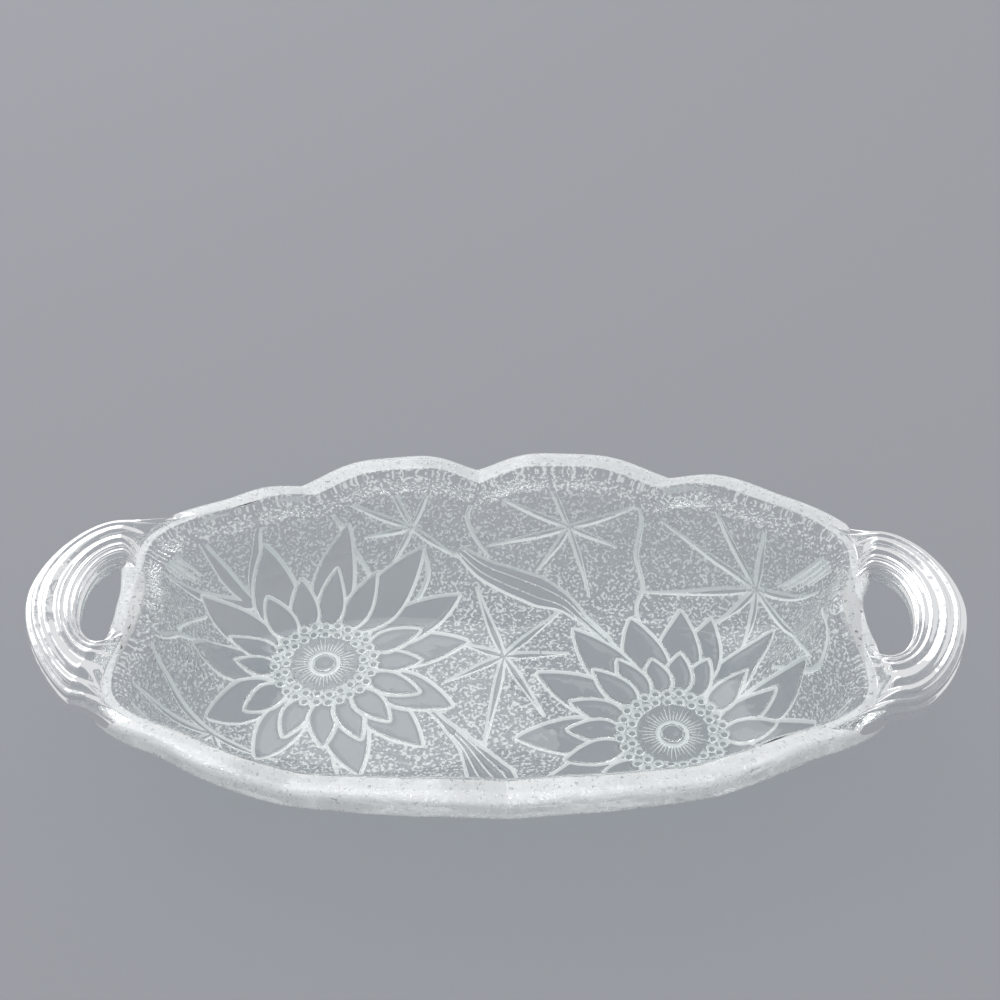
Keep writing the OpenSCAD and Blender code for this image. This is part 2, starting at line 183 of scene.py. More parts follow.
class TrayForm:
    """The tray's surfaces as functions of plan direction and distance along the glass.

    Args:
        size: the tray's sizes.
    """

    # How much of the cove's way out is eased, and how much of its rise is straight, as shares.
    cove_ease = 0.5
    cove_rise = 0.65
    # Height in millimetres over which a handle's outline crosses the lip's top, and how evenly.
    over_run = 3.4
    over_power = 0.8
    # How often a root is worked out anew, and in how many steps its place on the glass is found.
    root_rounds = 14
    search_steps = 40
    # How near the tray's middle a root may come along the tray, in millimetres.
    least_x = 1.0

    def __init__(self, size: TraySize) -> None:
        """Works out the wall's slope and knee.

        Args:
            size: the tray's sizes.
        """
        self.size = size
        self.slope = math.radians(size.wall_slope)
        knee_rise = size.knee_r * (1 - math.cos(self.slope))
        slope_l = (size.rim_h - size.relief_h - knee_rise) / math.sin(self.slope)
        self.knee_l = size.knee_r * self.slope
        self.wall_run = size.knee_r * math.sin(self.slope) + slope_l * math.cos(self.slope)
        self.knee_top = size.relief_h + knee_rise
        self.inner_set = size.glass_t / math.sin(self.slope)
        self.lip_blend = size.lip_h / 2

    def swell(self, a: Array, at: float, span: float) -> Array:
        """A smooth hump on the rim, the same in all four quarters.

        Args:
            a: directions in radians.
            at: where it is highest, in degrees from the handle line.
            span: how far it reaches to either side, in degrees.

        Returns:
            1 at the hump's middle and 0 beyond its span.
        """
        deg = np.degrees(a) % 180.0
        off = np.abs(np.minimum(deg, 180.0 - deg) - at)
        return np.cos(np.pi / 2 * np.clip(off / span, 0, 1)) ** 2

    def rim_r(self, a: Array) -> Array:
        """Radius of the wall at the reference rim height.

        Args:
            a: directions in radians.

        Returns:
            A full oval, with its corners out and its ends in.
        """
        s = self.size
        turned = a - math.radians(s.oval_turn)
        c = np.abs(np.cos(turned)) / (s.length / 2)
        d = np.abs(np.sin(turned)) / (s.width / 2)
        oval = (c ** s.fullness + d ** s.fullness) ** (-1 / s.fullness)
        return (oval + s.corner_out * self.swell(a, s.corner_dir, s.corner_span)
                - s.end_in * self.swell(a, 0.0, s.slim_span))

    def floor_r(self, a: Array) -> Array:
        """Radius at which the flat floor turns into the knee."""
        return self.rim_r(a) - self.wall_run

    def scallop(self, a: Array) -> Array:
        """Height share of the rim's scallops.

        Args:
            a: directions in radians.

        Returns:
            0 at a notch and up to 1 at a crest. The sides repeat by half a turn.
        """
        s = self.size
        deg = np.degrees(a) % 180.0
        out = np.full(np.shape(deg), s.scallop_floor[0])
        for i in range(len(s.scallop_dirs) - 1):
            lo, hi = s.scallop_dirs[i], s.scallop_dirs[i + 1]
            inside = (deg >= lo) & (deg <= hi)
            u = (deg[inside] - lo) / (hi - lo)
            base = s.scallop_floor[i] + (s.scallop_floor[i + 1] - s.scallop_floor[i]) * u
            hump = np.sin(np.pi * u) ** s.crest_power
            hump = hump + (1 / s.crest_main - 1) * (1 - np.cos(4 * np.pi * u)) / 2
            out[inside] = base + (s.scallop_crest[i] - base) * hump
        return out

    def rim_z(self, a: Array) -> Array:
        """Height of the rim.

        Args:
            a: directions in radians.

        Returns:
            Heights, with the scallops on the reference height and the ends raised.
        """
        s = self.size
        return (s.rim_h + s.end_rise * self.swell(a, 0.0, s.end_span)
                + s.scallop_h * (self.scallop(a) - 0.5))

    def wall_r(self, a: Array, z: Array) -> Array:
        """Radius of the wall's outer face at height z on the slope."""
        return self.rim_r(a) + (z - self.size.rim_h) / math.tan(self.slope)

    def lip_w(self, a: Array) -> Array:
        """Width of the lip, which is slimmer across the right finger hole than across the left."""
        slim = np.where(np.cos(a) > 0, *self.size.lip_slims)
        return self.size.lip_w - slim * self.swell(a, 0.0, self.size.slim_span)

    def lip_inner(self, a: Array) -> Array:
        """Radius of the lip's inner edge."""
        return self.wall_r(a, self.rim_z(a)) - self.inner_set

    def lip_outer(self, a: Array) -> Array:
        """Radius of the lip's upright outer face."""
        return self.lip_inner(a) + self.lip_w(a)

    def marks(self, a: Array) -> tuple:
        """Where the parts of the outside end.

        Args:
            a: directions in radians.

        Returns:
            Distances along the glass at which the slope, the cove, the lip's face and its top end.
        """
        s = self.size
        foot_z = self.rim_z(a) - s.lip_h - self.lip_blend
        slope_end = self.floor_r(a) + self.knee_l + (foot_z - self.knee_top) / math.sin(self.slope)
        cove_end = slope_end + np.hypot(self.lip_outer(a) - self.wall_r(a, foot_z), self.lip_blend)
        face_end = cove_end + s.lip_h - s.lip_round
        top_end = face_end + s.lip_round * math.pi / 2 + self.lip_w(a) - s.lip_round - s.inner_round
        return slope_end, cove_end, face_end, top_end

    def outside(self, p: Array, stand: Array) -> Array:
        """Lays points of the flat pattern over the outside of the glass.

        Args:
            p: pattern points, N by 2; the distance from 0 is the way along the glass.
            stand: how far each point stands out of the glass.

        Returns:
            Points in space, N by 3.
        """
        s = self.size
        a, dist = plan(p)
        floor = self.floor_r(a)
        turn = np.clip((dist - floor) / self.knee_l, 0, 1) * self.slope
        extra = np.maximum(dist - floor - self.knee_l, 0)
        bend = s.knee_r + stand
        on_floor = dist < floor
        r = np.where(on_floor, dist, floor + bend * np.sin(turn) + extra * math.cos(self.slope))
        wall_z = s.relief_h + s.knee_r - bend * np.cos(turn) + extra * math.sin(self.slope)
        z = np.where(on_floor, s.relief_h - stand, wall_z)
        slope_end, cove_end, face_end, _ = self.marks(a)
        foot_z = self.rim_z(a) - s.lip_h - self.lip_blend
        foot_r = self.wall_r(a, foot_z)
        u = np.clip((dist - slope_end) / (cove_end - slope_end), 0, 1)
        cove_r = (1 - self.cove_ease) * u + self.cove_ease * smooth(u)
        cove_z = self.cove_rise * u + (1 - self.cove_rise) * u * u
        in_cove = dist > slope_end
        r = np.where(in_cove, foot_r + (self.lip_outer(a) - foot_r) * cove_r, r)
        z = np.where(in_cove, foot_z + self.lip_blend * cove_z, z)
        up = np.clip(dist - cove_end, 0, s.lip_h - s.lip_round)
        z = np.where(dist > cove_end, foot_z + self.lip_blend + up, z)
        arc = np.clip((dist - face_end) / s.lip_round, 0, np.pi / 2)
        over = np.maximum(dist - face_end - s.lip_round * np.pi / 2, 0)
        r = r - s.lip_round * (1 - np.cos(arc)) - over
        z = z + s.lip_round * np.sin(arc)
        return np.stack([r * np.cos(a), r * np.sin(a), z], 1)

    def root_line(self, y: Array, z: Array, sign: float, run_over: float) -> Array:
        """Finds where a handle's outline meets the glass.

        Args:
            y: sideways places of the outline's points.
            z: their heights. What stands higher than the lip's face runs over the lip's top.
            sign: 1 for the right end of the tray and -1 for the left.
            run_over: how far short of the lip's inner edge the outline ends.

        Returns:
            Pattern points, N by 2.
        """
        flush = np.zeros_like(y)
        a = np.arctan2(y, np.full_like(y, sign * self.size.length / 2))
        for _ in range(self.root_rounds):
            _, _, face_end, top_end = self.marks(a)
            lo, hi = np.zeros_like(y), face_end.copy()
            for _ in range(self.search_steps):
                mid = (lo + hi) / 2
                below = self.outside(polar(mid, a), flush)[:, 2] < z
                lo, hi = np.where(below, mid, lo), np.where(below, hi, mid)
            shoulder = self.rim_z(a) - self.size.lip_round
            v = np.clip((z - shoulder) / self.over_run, 0, 1) ** self.over_power
            line = polar(np.where(v > 0, face_end + (top_end - run_over - face_end) * v, lo), a)
            there = self.outside(line, flush)
            r = np.hypot(there[:, 0], there[:, 1])
            a = np.arctan2(y, sign * np.sqrt(np.maximum(r * r - y * y, self.least_x ** 2)))
        return line


# Relief features, each a height over the flat pattern, with sizes in millimetres


@dataclass
class Shape:
    """What a feature does at some pattern points.

    Args:
        height: how far it stands out of the glass.
        inside: distance from its outline in millimetres, positive inside.
        line: how far inside one of its frosted lines each point is, in millimetres.
    """

    height: Array
    inside: Array
    line: Array


@dataclass
class Feature:
    """One raised form of the relief.

    Args:
        height: how far its crown stands out of the glass.
    """

    height: float

    line_w: ClassVar[float] = 0.5
    line_in: ClassVar[float] = 0.3
    margin: ClassVar[float] = 0.5

    def outline(self, inside: Array) -> Array:
        """How far inside the frosted line along the outline each point is."""
        return self.line_w - np.abs(inside - self.line_in)

    def reach(self) -> tuple:
        """Returns the centre and radius of a circle that holds the feature."""
        raise NotImplementedError

    def shape(self, p: Array) -> Shape:
        """Returns the feature's shape at pattern points p."""
        raise NotImplementedError

    def samples(self) -> Array:
        """Returns the points at which the mesh follows the feature."""
        raise NotImplementedError


@dataclass
class Petal(Feature):
    """A domed petal with a steep rounded side all round.

    Args:
        at: the middle of its flower.
        deg: its direction from there in degrees.
        start: how far from the middle its foot lies.
        tip: how far from the middle its tip lies.
        width: its width at the broadest place, before it tapers.
    """

    at: Array
    deg: float
    start: float
    tip: float
    width: float

    line_in: ClassVar[float] = 0.1
    margin: ClassVar[float] = 1.2
    side_w: ClassVar[float] = 1.15
    foot_power: ClassVar[float] = 0.8
    full_power: ClassVar[float] = 0.75
    taper: ClassVar[float] = 0.15
    crown_fall: ClassVar[float] = 0.16
    tip_fall: ClassVar[float] = 0.12
    least_w: ClassVar[float] = 0.1
    slope_step: ClassVar[float] = 0.01
    spacing: ClassVar[float] = 0.55
    end_turn: ClassVar[float] = 0.02
    insets: ClassVar[tuple] = (0.0, -0.3, 0.3, 0.65, -0.6, 1.0, 1.6, 2.6, 3.9)
    inset_gap: ClassVar[float] = 0.12

    def __post_init__(self) -> None:
        """Works out the petal's own directions and length."""
        self.along, self.across = unit(self.deg), unit(self.deg + 90)
        self.length = self.tip - self.start

    def reach(self) -> tuple:
        """Returns the centre and radius of a circle that holds the petal."""
        return self.at + self.along * ((self.start + self.tip) / 2), self.length / 2 + self.margin

    def half_w(self, u: Array) -> Array:
        """Half width along the petal.

        Args:
            u: shares of the way from the foot to the tip.

        Returns:
            Half widths in millimetres.
        """
        u = np.clip(u, 0, 1)
        return (self.width / 2 * np.sin(np.pi * u ** self.foot_power) ** self.full_power
                * (1 - self.taper * u))

    def shape(self, p: Array) -> Shape:
        """Finds the petal's shape.

        Args:
            p: pattern points, N by 2.

        Returns:
            A dome that falls a little towards its sides and its tip.
        """
        d = p - self.at
        u = (d @ self.along - self.start) / self.length
        t = np.abs(d @ self.across)
        w = self.half_w(u)
        step = self.slope_step
        lean = (self.half_w(u + step) - self.half_w(u - step)) / (2 * step * self.length)
        inside = (w - t) / np.sqrt(1 + lean ** 2)
        past = np.maximum(u - 1, -u) * self.length
        inside = np.where(past > 0, -np.hypot(past, t), inside)
        aside = np.clip(t / np.maximum(w, self.least_w), 0, 1)
        dome = 1 - self.crown_fall * aside ** 2 - self.tip_fall * np.clip(u, 0, 1) ** 2
        return Shape(self.height * bevel(inside / self.side_w) * dome, inside, self.outline(inside))

    def samples(self) -> Array:
        """Finds the points at which the mesh follows the petal.

        Returns:
            Points along its middle and in lines beside its outline.
        """
        n = int(self.length / self.spacing)
        u = (1 - np.cos(np.linspace(self.end_turn, np.pi - self.end_turn, n))) / 2
        w = self.half_w(u)
        middle = self.at + self.along * (self.start + self.length * u)[:, None]
        out = [middle]
        for inset in self.insets:
            keep = w - inset > self.inset_gap
            for side in (-1, 1):
                out.append((middle + self.across * (side * (w - inset))[:, None])[keep])
        return np.concatenate(out)


@dataclass
class Bead(Feature):
    """A half ball, a little flat on top.

    Args:
        at: its middle.
        radius: its radius.
    """

    at: Array
    radius: float

    line_w: ClassVar[float] = 0.32
    line_in: ClassVar[float] = 0.256
    power: ClassVar[float] = 3
    rings: ClassVar[tuple] = ((0.995, 20), (0.84, 18), (1.2, 16), (0.66, 12), (0.34, 7))

    def reach(self) -> tuple:
        """Returns the centre and radius of a circle that holds the bead."""
        return self.at, self.radius + self.margin

    def shape(self, p: Array) -> Shape:
        """Finds the bead's shape.

        Args:
            p: pattern points, N by 2.

        Returns:
            A half ball, with a frosted ring just inside its edge.
        """
        r = np.hypot(*(p - self.at).T)
        height = self.height * np.sqrt(np.maximum(1 - (r / self.radius) ** self.power, 0))
        return Shape(height, self.radius - r, self.outline(self.radius - r))

    def samples(self) -> Array:
        """Returns rings of points round the bead's middle."""
        rings = [self.at + polar(share * self.radius, directions(n)) for share, n in self.rings]
        return np.concatenate([self.at[None, :]] + rings)


@dataclass
class Button(Feature):
    """The flower's heart: a low ball in a cup ring, with stamens round it.

    Args:
        at: its middle.
        ball_r: radius of the ball.
        ring_r: outer radius of the ring.
        stamen_r: radius at which the longest stamens end.
        stamens: how many there are.
    """

    at: Array
    ball_r: float
    ring_r: float
    stamen_r: float
    stamens: int

    margin: ClassVar[float] = 0.3
    ring_share: ClassVar[float] = 0.85
    stamen_share: ClassVar[float] = 0.35
    stamen_w: ClassVar[float] = 0.21
    stamen_taper: ClassVar[float] = 0.6
    least_length: ClassVar[float] = 0.55
    length_step: ClassVar[float] = 2.4
    ring_line: ClassVar[float] = 0.8
    ball_line_w: ClassVar[float] = 0.16
    ball_line_at: ClassVar[float] = 0.9
    ball_rings: ClassVar[int] = 9
    first_ring: ClassVar[float] = 0.15
    ring_power: ClassVar[float] = 0.6
    cup_rings: ClassVar[int] = 7
    cup_gap: ClassVar[float] = 0.1
    cup_spacing: ClassVar[float] = 0.36
    least_points: ClassVar[int] = 8
    stamen_rings: ClassVar[int] = 8
    stamen_gap: ClassVar[float] = 0.25
    stamen_points: ClassVar[int] = 4

    def reach(self) -> tuple:
        """Returns the centre and radius of a circle that holds the button."""
        return self.at, self.stamen_r + self.margin

    def shape(self, p: Array) -> Shape:
        """Finds the button's shape.

        Args:
            p: pattern points, N by 2.

        Returns:
            The ball, the ring and the stamens, whichever is highest.
        """
        b, r = plan(p - self.at)
        ball = self.height * np.sqrt(np.maximum(1 - (r / self.ball_r) ** 2, 0))
        half = (self.ring_r - self.ball_r) / 2
        off = np.abs(r - self.ball_r - half)
        ring = self.height * self.ring_share * np.sqrt(np.maximum(1 - (off / half) ** 2, 0))
        turn = b * self.stamens / (2 * np.pi)
        number = np.floor(turn)
        side = np.abs(turn - number - 0.5) * r * 2 * np.pi / self.stamens
        length = self.least_length + (1 - self.least_length) * np.sin(number * self.length_step) ** 2
        u = (r - self.ring_r) / ((self.stamen_r - self.ring_r) * length)
        ray_w = self.stamen_w * (1 - self.stamen_taper * np.clip(u, 0, 1))
        ray = np.where((u > 0) & (u < 1), ray_w - side, OFF_LINE)
        stamen = self.height * self.stamen_share * np.clip(ray / self.stamen_w + 0.5, 0, 1)
        line = np.maximum(self.ring_line * half - off,
                          self.ball_line_w - np.abs(r - self.ball_r * self.ball_line_at))
        return Shape(np.maximum(np.maximum(ball, ring), stamen), self.stamen_r - r, np.maximum(line, ray))

    def samples(self) -> Array:
        """Finds the points at which the mesh follows the button.

        Returns:
            Rings of points over the ball, the ring and the stamens.
        """
        out = [self.at[None, :]]
        ball = np.linspace(self.first_ring, 1, self.ball_rings) ** self.ring_power * self.ball_r
        cup = np.linspace(self.ball_r + self.cup_gap, self.ring_r + self.cup_gap, self.cup_rings)
        for r in np.concatenate([ball, cup]):
            n = max(self.least_points, int(r * 2 * np.pi / self.cup_spacing))
            out.append(self.at + polar(r, directions(n)))
        for r in np.linspace(self.ring_r + self.stamen_gap, self.stamen_r, self.stamen_rings):
            out.append(self.at + polar(r, directions(self.stamens * self.stamen_points)))
        return np.concatenate(out)


@dataclass
class Rib(Feature):
    """A rounded rib along a line, tapering towards its ends.

    Args:
        line: places that it runs through.
        width: its full width.
        taper: shares of the full width at its start and its end.
    """

    line: Array
    width: float
    taper: tuple = (0.75, 0.25)

    line_w: ClassVar[float] = 0.4
    spacing: ClassVar[float] = 0.8
    least_places: ClassVar[int] = 4
    start_run: ClassVar[float] = 0.25
    end_run: ClassVar[float] = 0.6
    slim_height: ClassVar[float] = 0.4
    far: ClassVar[float] = 99.0
    lanes: ClassVar[tuple] = (0.97, 0.5, 0.74, 1.3)

    def __post_init__(self) -> None:
        """Smooths the line and works out the share of the full width along it."""
        self.half = self.width / 2
        steps = run_along(self.line)
        t = np.linspace(0, steps[-1], max(self.least_places, int(steps[-1] / self.spacing)))
        self.line = np.stack([smooth_line(steps, self.line[:, i], t) for i in range(2)], 1)
        u = t / steps[-1]
        start, end = self.taper
        self.share = start + (1 - start) * np.clip(u / self.start_run, 0, 1)
        self.share = self.share * (end + (1 - end) * np.clip((1 - u) / self.end_run, 0, 1))

    def reach(self) -> tuple:
        """Returns the centre and radius of a circle that holds the rib."""
        mid = (self.line.min(0) + self.line.max(0)) / 2
        return mid, np.hypot(*(self.line - mid).T).max() + self.half + self.margin

    def nearest(self, p: Array) -> tuple:
        """Finds the nearest place of the line.

        Args:
            p: pattern points.

        Returns:
            Distance as a share of the half width there, that half width, and the side of the line.
        """
        rel = np.full(len(p), self.far)
        half = np.full(len(p), self.half)
        side = np.zeros(len(p))
        for i in range(len(self.line) - 1):
            a, b = self.line[i], self.line[i + 1]
            ab = b - a
            t = np.clip(((p - a) @ ab) / (ab @ ab), 0, 1)
            d = p - a - t[:, None] * ab
            w = self.half * (self.share[i] + (self.share[i + 1] - self.share[i]) * t)
            here = np.hypot(*d.T) / w
            near = here < rel
            half = np.where(near, w, half)
            side = np.where(near, np.sign(d[:, 1] * ab[0] - d[:, 0] * ab[1]), side)
            rel = np.minimum(here, rel)
        return rel, half, side

    def shape(self, p: Array) -> Shape:
        """Finds the rib's shape.

        Args:
            p: pattern points, N by 2.

        Returns:
            A round back, lower where the rib is slimmer.
        """
        rel, half, _ = self.nearest(p)
        crown = self.height * (self.slim_height + (1 - self.slim_height) * half / self.half)
        inside = (1 - rel) * half
        return Shape(crown * np.sqrt(np.maximum(1 - rel ** 2, 0)), inside, self.outline(inside))

    def samples(self) -> Array:
        """Finds the points at which the mesh follows the rib.

        Returns:
            Points along its middle and in lanes beside it.
        """
        d = np.gradient(self.line, axis=0)
        side = np.stack([-d[:, 1], d[:, 0]], 1) / np.hypot(*d.T)[:, None]
        out = [self.line]
        for lane in self.lanes:
            for s in (-1, 1):
                out.append(self.line + side * (s * lane * self.half * self.share)[:, None])
        return np.concatenate(out)


@dataclass
class Bud(Rib):
    """A closed flower bud on its stem, with lengthwise sepals.

    Args:
        shares: share of the full width at each place of the line.
        ridges: how many sepals show.
    """

    shares: tuple = ()
    ridges: int = 3

    line_w: ClassVar[float] = 0.5
    lanes: ClassVar[tuple] = (0.12, 0.25, 0.38, 0.5, 0.62, 0.75, 0.88, 0.98, 1.06)
    side_w: ClassVar[float] = 1.1
    broad_share: ClassVar[float] = 0.3
    fold_deep: ClassVar[float] = 0.5
    fold_w: ClassVar[float] = 0.35
    fold_line_w: ClassVar[float] = 0.25

    def __post_init__(self) -> None:
        """Smooths the line and spreads the given shares along it."""
        steps = run_along(self.line)
        super().__post_init__()
        self.share = np.interp(np.linspace(0, steps[-1], len(self.line)), steps, self.shares)

    def shape(self, p: Array) -> Shape:
        """Finds the bud's shape.

        Args:
            p: pattern points, N by 2.

        Returns:
            A rounded body, grooved between its sepals where it is broad.
        """
        rel, half, side = self.nearest(p)
        inside = (1 - rel) * half
        across = (rel * side + 1) / 2 * self.ridges
        fold = np.abs(across - np.round(across)) / self.ridges * 2 * half
        broad = half > self.broad_share * self.half
        groove = np.where(broad, 1 - self.fold_deep * np.exp(-(fold / self.fold_w) ** 2), 1.0)
        folds = np.where(broad & (inside > 0), self.fold_line_w - fold, OFF_LINE)
        height = self.height * bevel(inside / self.side_w) * groove
        return Shape(height, inside, np.maximum(self.outline(inside), folds))


@dataclass
class Group(Feature):
    """Ribs that run into each other, such as the veins of a pad.

    Args:
        members: the ribs.
    """

    members: list

    line_w: ClassVar[float] = 0.4
    line_in: ClassVar[float] = 0.25

    def reach(self) -> tuple:
        """Finds a circle that holds all the ribs.

        Returns:
            Its centre and radius.
        """
        spots = [m.reach() for m in self.members]
        mid = np.mean([c for c, _ in spots], 0)
        return mid, max(np.hypot(*(c - mid)) + r for c, r in spots)

    def shape(self, p: Array) -> Shape:
        """Finds the ribs' shape.

        Args:
            p: pattern points, N by 2.

        Returns:
            The ribs as one form, with one outline round them all.
        """
        shapes = [m.shape(p) for m in self.members]
        inside = np.max([s.inside for s in shapes], 0)
        return Shape(np.max([s.height for s in shapes], 0), inside, self.outline(inside))

    def samples(self) -> Array:
        """Returns the points of all the ribs."""
        return np.concatenate([m.samples() for m in self.members])


# The relief's layout, with each petal as its direction in degrees and how far its tip reaches


@dataclass(frozen=True)
class FlowerLayout:
    """Where a flower lies and how its petals are set, in millimetres and degrees."""

    at: tuple
    outer: tuple
    inner: tuple


@dataclass(frozen=True)
class FlowerSize:
    """Sizes that both flowers share, in millimetres, with heights as shares of the relief's."""

    start: float = 13.4
    outer_w: float = 13.0
    outer_share: float = 0.8
    inner_w: float = 8.4
    inner_in: float = 1.0
    bead_r: float = 1.38
    bead_stray: float = 0.3
    stray_step: float = 2.4
    bead_rows: tuple = ((13.1, 27, 0.0), (10.4, 21, 0.5))
    ball_r: float = 3.0
    ring_r: float = 4.4
    stamen_r: float = 9.0
    stamens: int = 40


@dataclass(frozen=True)
class PadSize:
    """Widths of the pads' lines in millimetres, with heights as shares of the relief's."""

    edge_w: float = 1.5
    end_edge_w: float = 1.7
    edge_taper: tuple = (0.6, 0.5)
    edge_share: float = 0.6
    vein_share: float = 0.7
    centre_taper: tuple = (0.6, 0.35)
    centre_share: float = 0.75
    comb_w: float = 1.3
    comb_taper: tuple = (0.8, 0.3)
    comb_share: float = 0.6
    bud_share: float = 0.85
    back_bud_w: float = 9.0
    back_sepals: int = 3
    front_bud_w: float = 12.0
    front_sepals: int = 4


LEFT_FLOWER = FlowerLayout(
    (-45.5, 11.0),
    ((12, 39), (33, 42), (57, 43), (92, 40), (130, 39), (159, 41), (190, 41), (217, 37), (247, 36),
     (289, 39), (316, 39), (338, 38)),
    ((3, 26), (26, 28), (69, 31), (91, 29), (113, 27), (134, 27), (168, 28), (188, 25), (221, 26),
     (252, 26), (275, 28), (296, 28), (315, 27), (340, 28)))
RIGHT_FLOWER = FlowerLayout(
    (45.5, -11.0),
    ((13, 44), (46, 43), (72, 40), (84, 41), (104, 40), (126, 43), (151, 40), (183, 40), (212, 40),
     (240, 40), (272, 38), (311, 39), (350, 41)),
    ((17, 31), (40, 28), (67, 27), (83, 27), (100, 25), (119, 28), (134, 29), (159, 28), (178, 27),
     (198, 29), (225, 28), (252, 28), (280, 28), (307, 28), (339, 27), (1, 28)))

# A star of veins is its centre, the ends of its veins and their width. VEINS, EDGES and COMBS are
# laid twice, the second time turned half round about the tray's middle. The others are laid once.
VEINS = (
    ((-27, 52), ((-54, 57), (-40, 66), (-22, 67), (-41, 48), (-31, 40), (-11, 44)), 1.9),
    ((22, 53), ((16, 71), (-3, 63), (-3, 48), (11, 41), (25, 34), (35, 47), (46, 57)), 1.9),
    ((-67, 28), ((-77, 50), (-95, 39), (-100, 23)), 3.4),
)
END_VEINS = (
    ((72, 32), ((51, 52), (68, 57), (84, 45), (94, 22), (90, -2), (65, 15), (58, 25), (41, 35)), 2.0),
    ((-72, -15), ((-100, -6), (-104, -19), (-88, -34), (-64, -34), (-54, -22)), 2.2),
)
CENTRE_VEINS = ((2, 14), ((-6, 36), (17, 30), (19, 15), (13, -6), (-2, -15), (-13, 5), (-9, 18)), 2.5)
EDGES = (
    ((-7, 63), (-10, 56), (-7, 50), (-3, 45)),
    ((45, 60), (45, 54), (40, 44), (40, 36), (38, 32), (40, 20)),
    ((-22, 46), (-20, 40), (-23, 31), (-33, 19)),
    ((-54, 53), (-49, 50), (-42, 44), (-36, 38), (-33, 30)),
)
END_EDGES = (
    ((97, 9), (98, -1), (94, -5), (75, 4)),
    ((-101, -4), (-95, -1), (-90, 3), (-82, 6)),
    ((-92, 4), (-85, 15), (-81, 20)),
)
BUD_BACK = ((-11, 46), (-4, 41), (3, 38), (11, 35), (18, 32), (23, 27), (29, 20), (32, 15))
BUD_BACK_SHARES = (0.4, 0.7, 0.9, 1.0, 0.62, 0.36, 0.3, 0.2)
BUD_FRONT = ((-20, 0), (-13, -8), (-6, -16), (0, -27), (4, -38), (5, -46))
BUD_FRONT_SHARES = (0.16, 0.2, 0.45, 1.0, 0.75, 0.2)
COMBS = (
    ((-104, 31.5), (-86, 30.5)), ((-104, 29.5), (-86, 29)), ((-104, 27.5), (-88, 27.7)),
    ((-104, 25.7), (-92, 26.3)), ((103, 32), (79, 31)), ((103, 30), (81, 29.8)),
    ((103, 28), (85, 28.4)), ((103, 26), (90, 27)),
)


class ReliefLayout:
    """Sets out every raised form of the underside.

    Args:
        height: how far the highest crowns stand out of the ground.
    """

    flower = FlowerSize()
    pad = PadSize()

    def __init__(self, height: float) -> None:
        """Keeps the relief's height."""
        self.height = height

    def both_ways(self, lines: tuple, share: float, width: float, taper: tuple) -> list:
        """Ribs along lines and along the same lines turned half round.

        Args:
            lines: the lines' places.
            share: the ribs' height as a share of the relief's.
            width: their width.
            taper: shares of the width at their ends.

        Returns:
            The ribs.
        """
        return [Rib(share * self.height, sign * np.array(line, float), width, taper)
                for line in lines for sign in (1, -1)]

    def star(self, veins: tuple, share: float, sign: int = 1, taper: tuple = Rib.taper) -> Group:
        """The veins of one pad.

        Args:
            veins: centre, ends and width.
            share: their height as a share of the relief's.
            sign: -1 where the star is turned half round.
            taper: shares of the width at the centre and the ends.

        Returns:
            The veins as one feature.
        """
        centre, ends, width = veins
        height = share * self.height
        lines = [sign * np.array([centre, end], float) for end in ends]
        return Group(height, [Rib(height, line, width, taper) for line in lines])

    def pads(self) -> list:
        """Sets out the lily pads and the combs at the handles.

        Returns:
            The pads' edges, their stars of veins and the combs.
        """
        s, h = self.pad, self.height
        out = self.both_ways(EDGES, s.edge_share, s.edge_w, s.edge_taper)
        out += [Rib(s.edge_share * h, np.array(line, float), s.end_edge_w, s.edge_taper)
                for line in END_EDGES]
        out += [self.star(veins, s.vein_share, sign) for veins in VEINS for sign in (1, -1)]
        out += [self.star(veins, s.vein_share) for veins in END_VEINS]
        out.append(self.star(CENTRE_VEINS, s.centre_share, taper=s.centre_taper))
        return out + self.both_ways(COMBS, s.comb_share, s.comb_w, s.comb_taper)

    def buds(self) -> list:
        """Sets out the buds.

        Returns:
            The back bud and the front one, each on its stem.
        """
        s = self.pad
        height = s.bud_share * self.height
        back, front = np.array(BUD_BACK, float), np.array(BUD_FRONT, float)
        return [Bud(height, back, s.back_bud_w, shares=BUD_BACK_SHARES, ridges=s.back_sepals),
                Bud(height, front, s.front_bud_w, shares=BUD_FRONT_SHARES, ridges=s.front_sepals)]

    def flower_forms(self, layout: FlowerLayout) -> list:
        """All the raised forms of one flower.

        Args:
            layout: where the flower lies and how its petals are set.

        Returns:
            The outer petals, the inner ones over them, the beads and the button.
        """
        s, h, at = self.flower, self.height, np.array(layout.at)
        out = [Petal(s.outer_share * h, at, deg, s.start, tip, s.outer_w) for deg, tip in layout.outer]
        out += [Petal(h, at, deg, s.start - s.inner_in, tip, s.inner_w) for deg, tip in layout.inner]
        for row_r, count, shift in s.bead_rows:
            for i in range(count):
                r = row_r + s.bead_stray * math.sin(s.stray_step * i)
                out.append(Bead(h, at + r * unit((i + shift) * 360 / count), s.bead_r))
        return out + [Button(h, at, s.ball_r, s.ring_r, s.stamen_r, s.stamens)]

    def features(self) -> list:
        """Returns every form, the ones that lie over others last."""
        return (self.pads() + self.buds() + self.flower_forms(LEFT_FLOWER)
                + self.flower_forms(RIGHT_FLOWER))


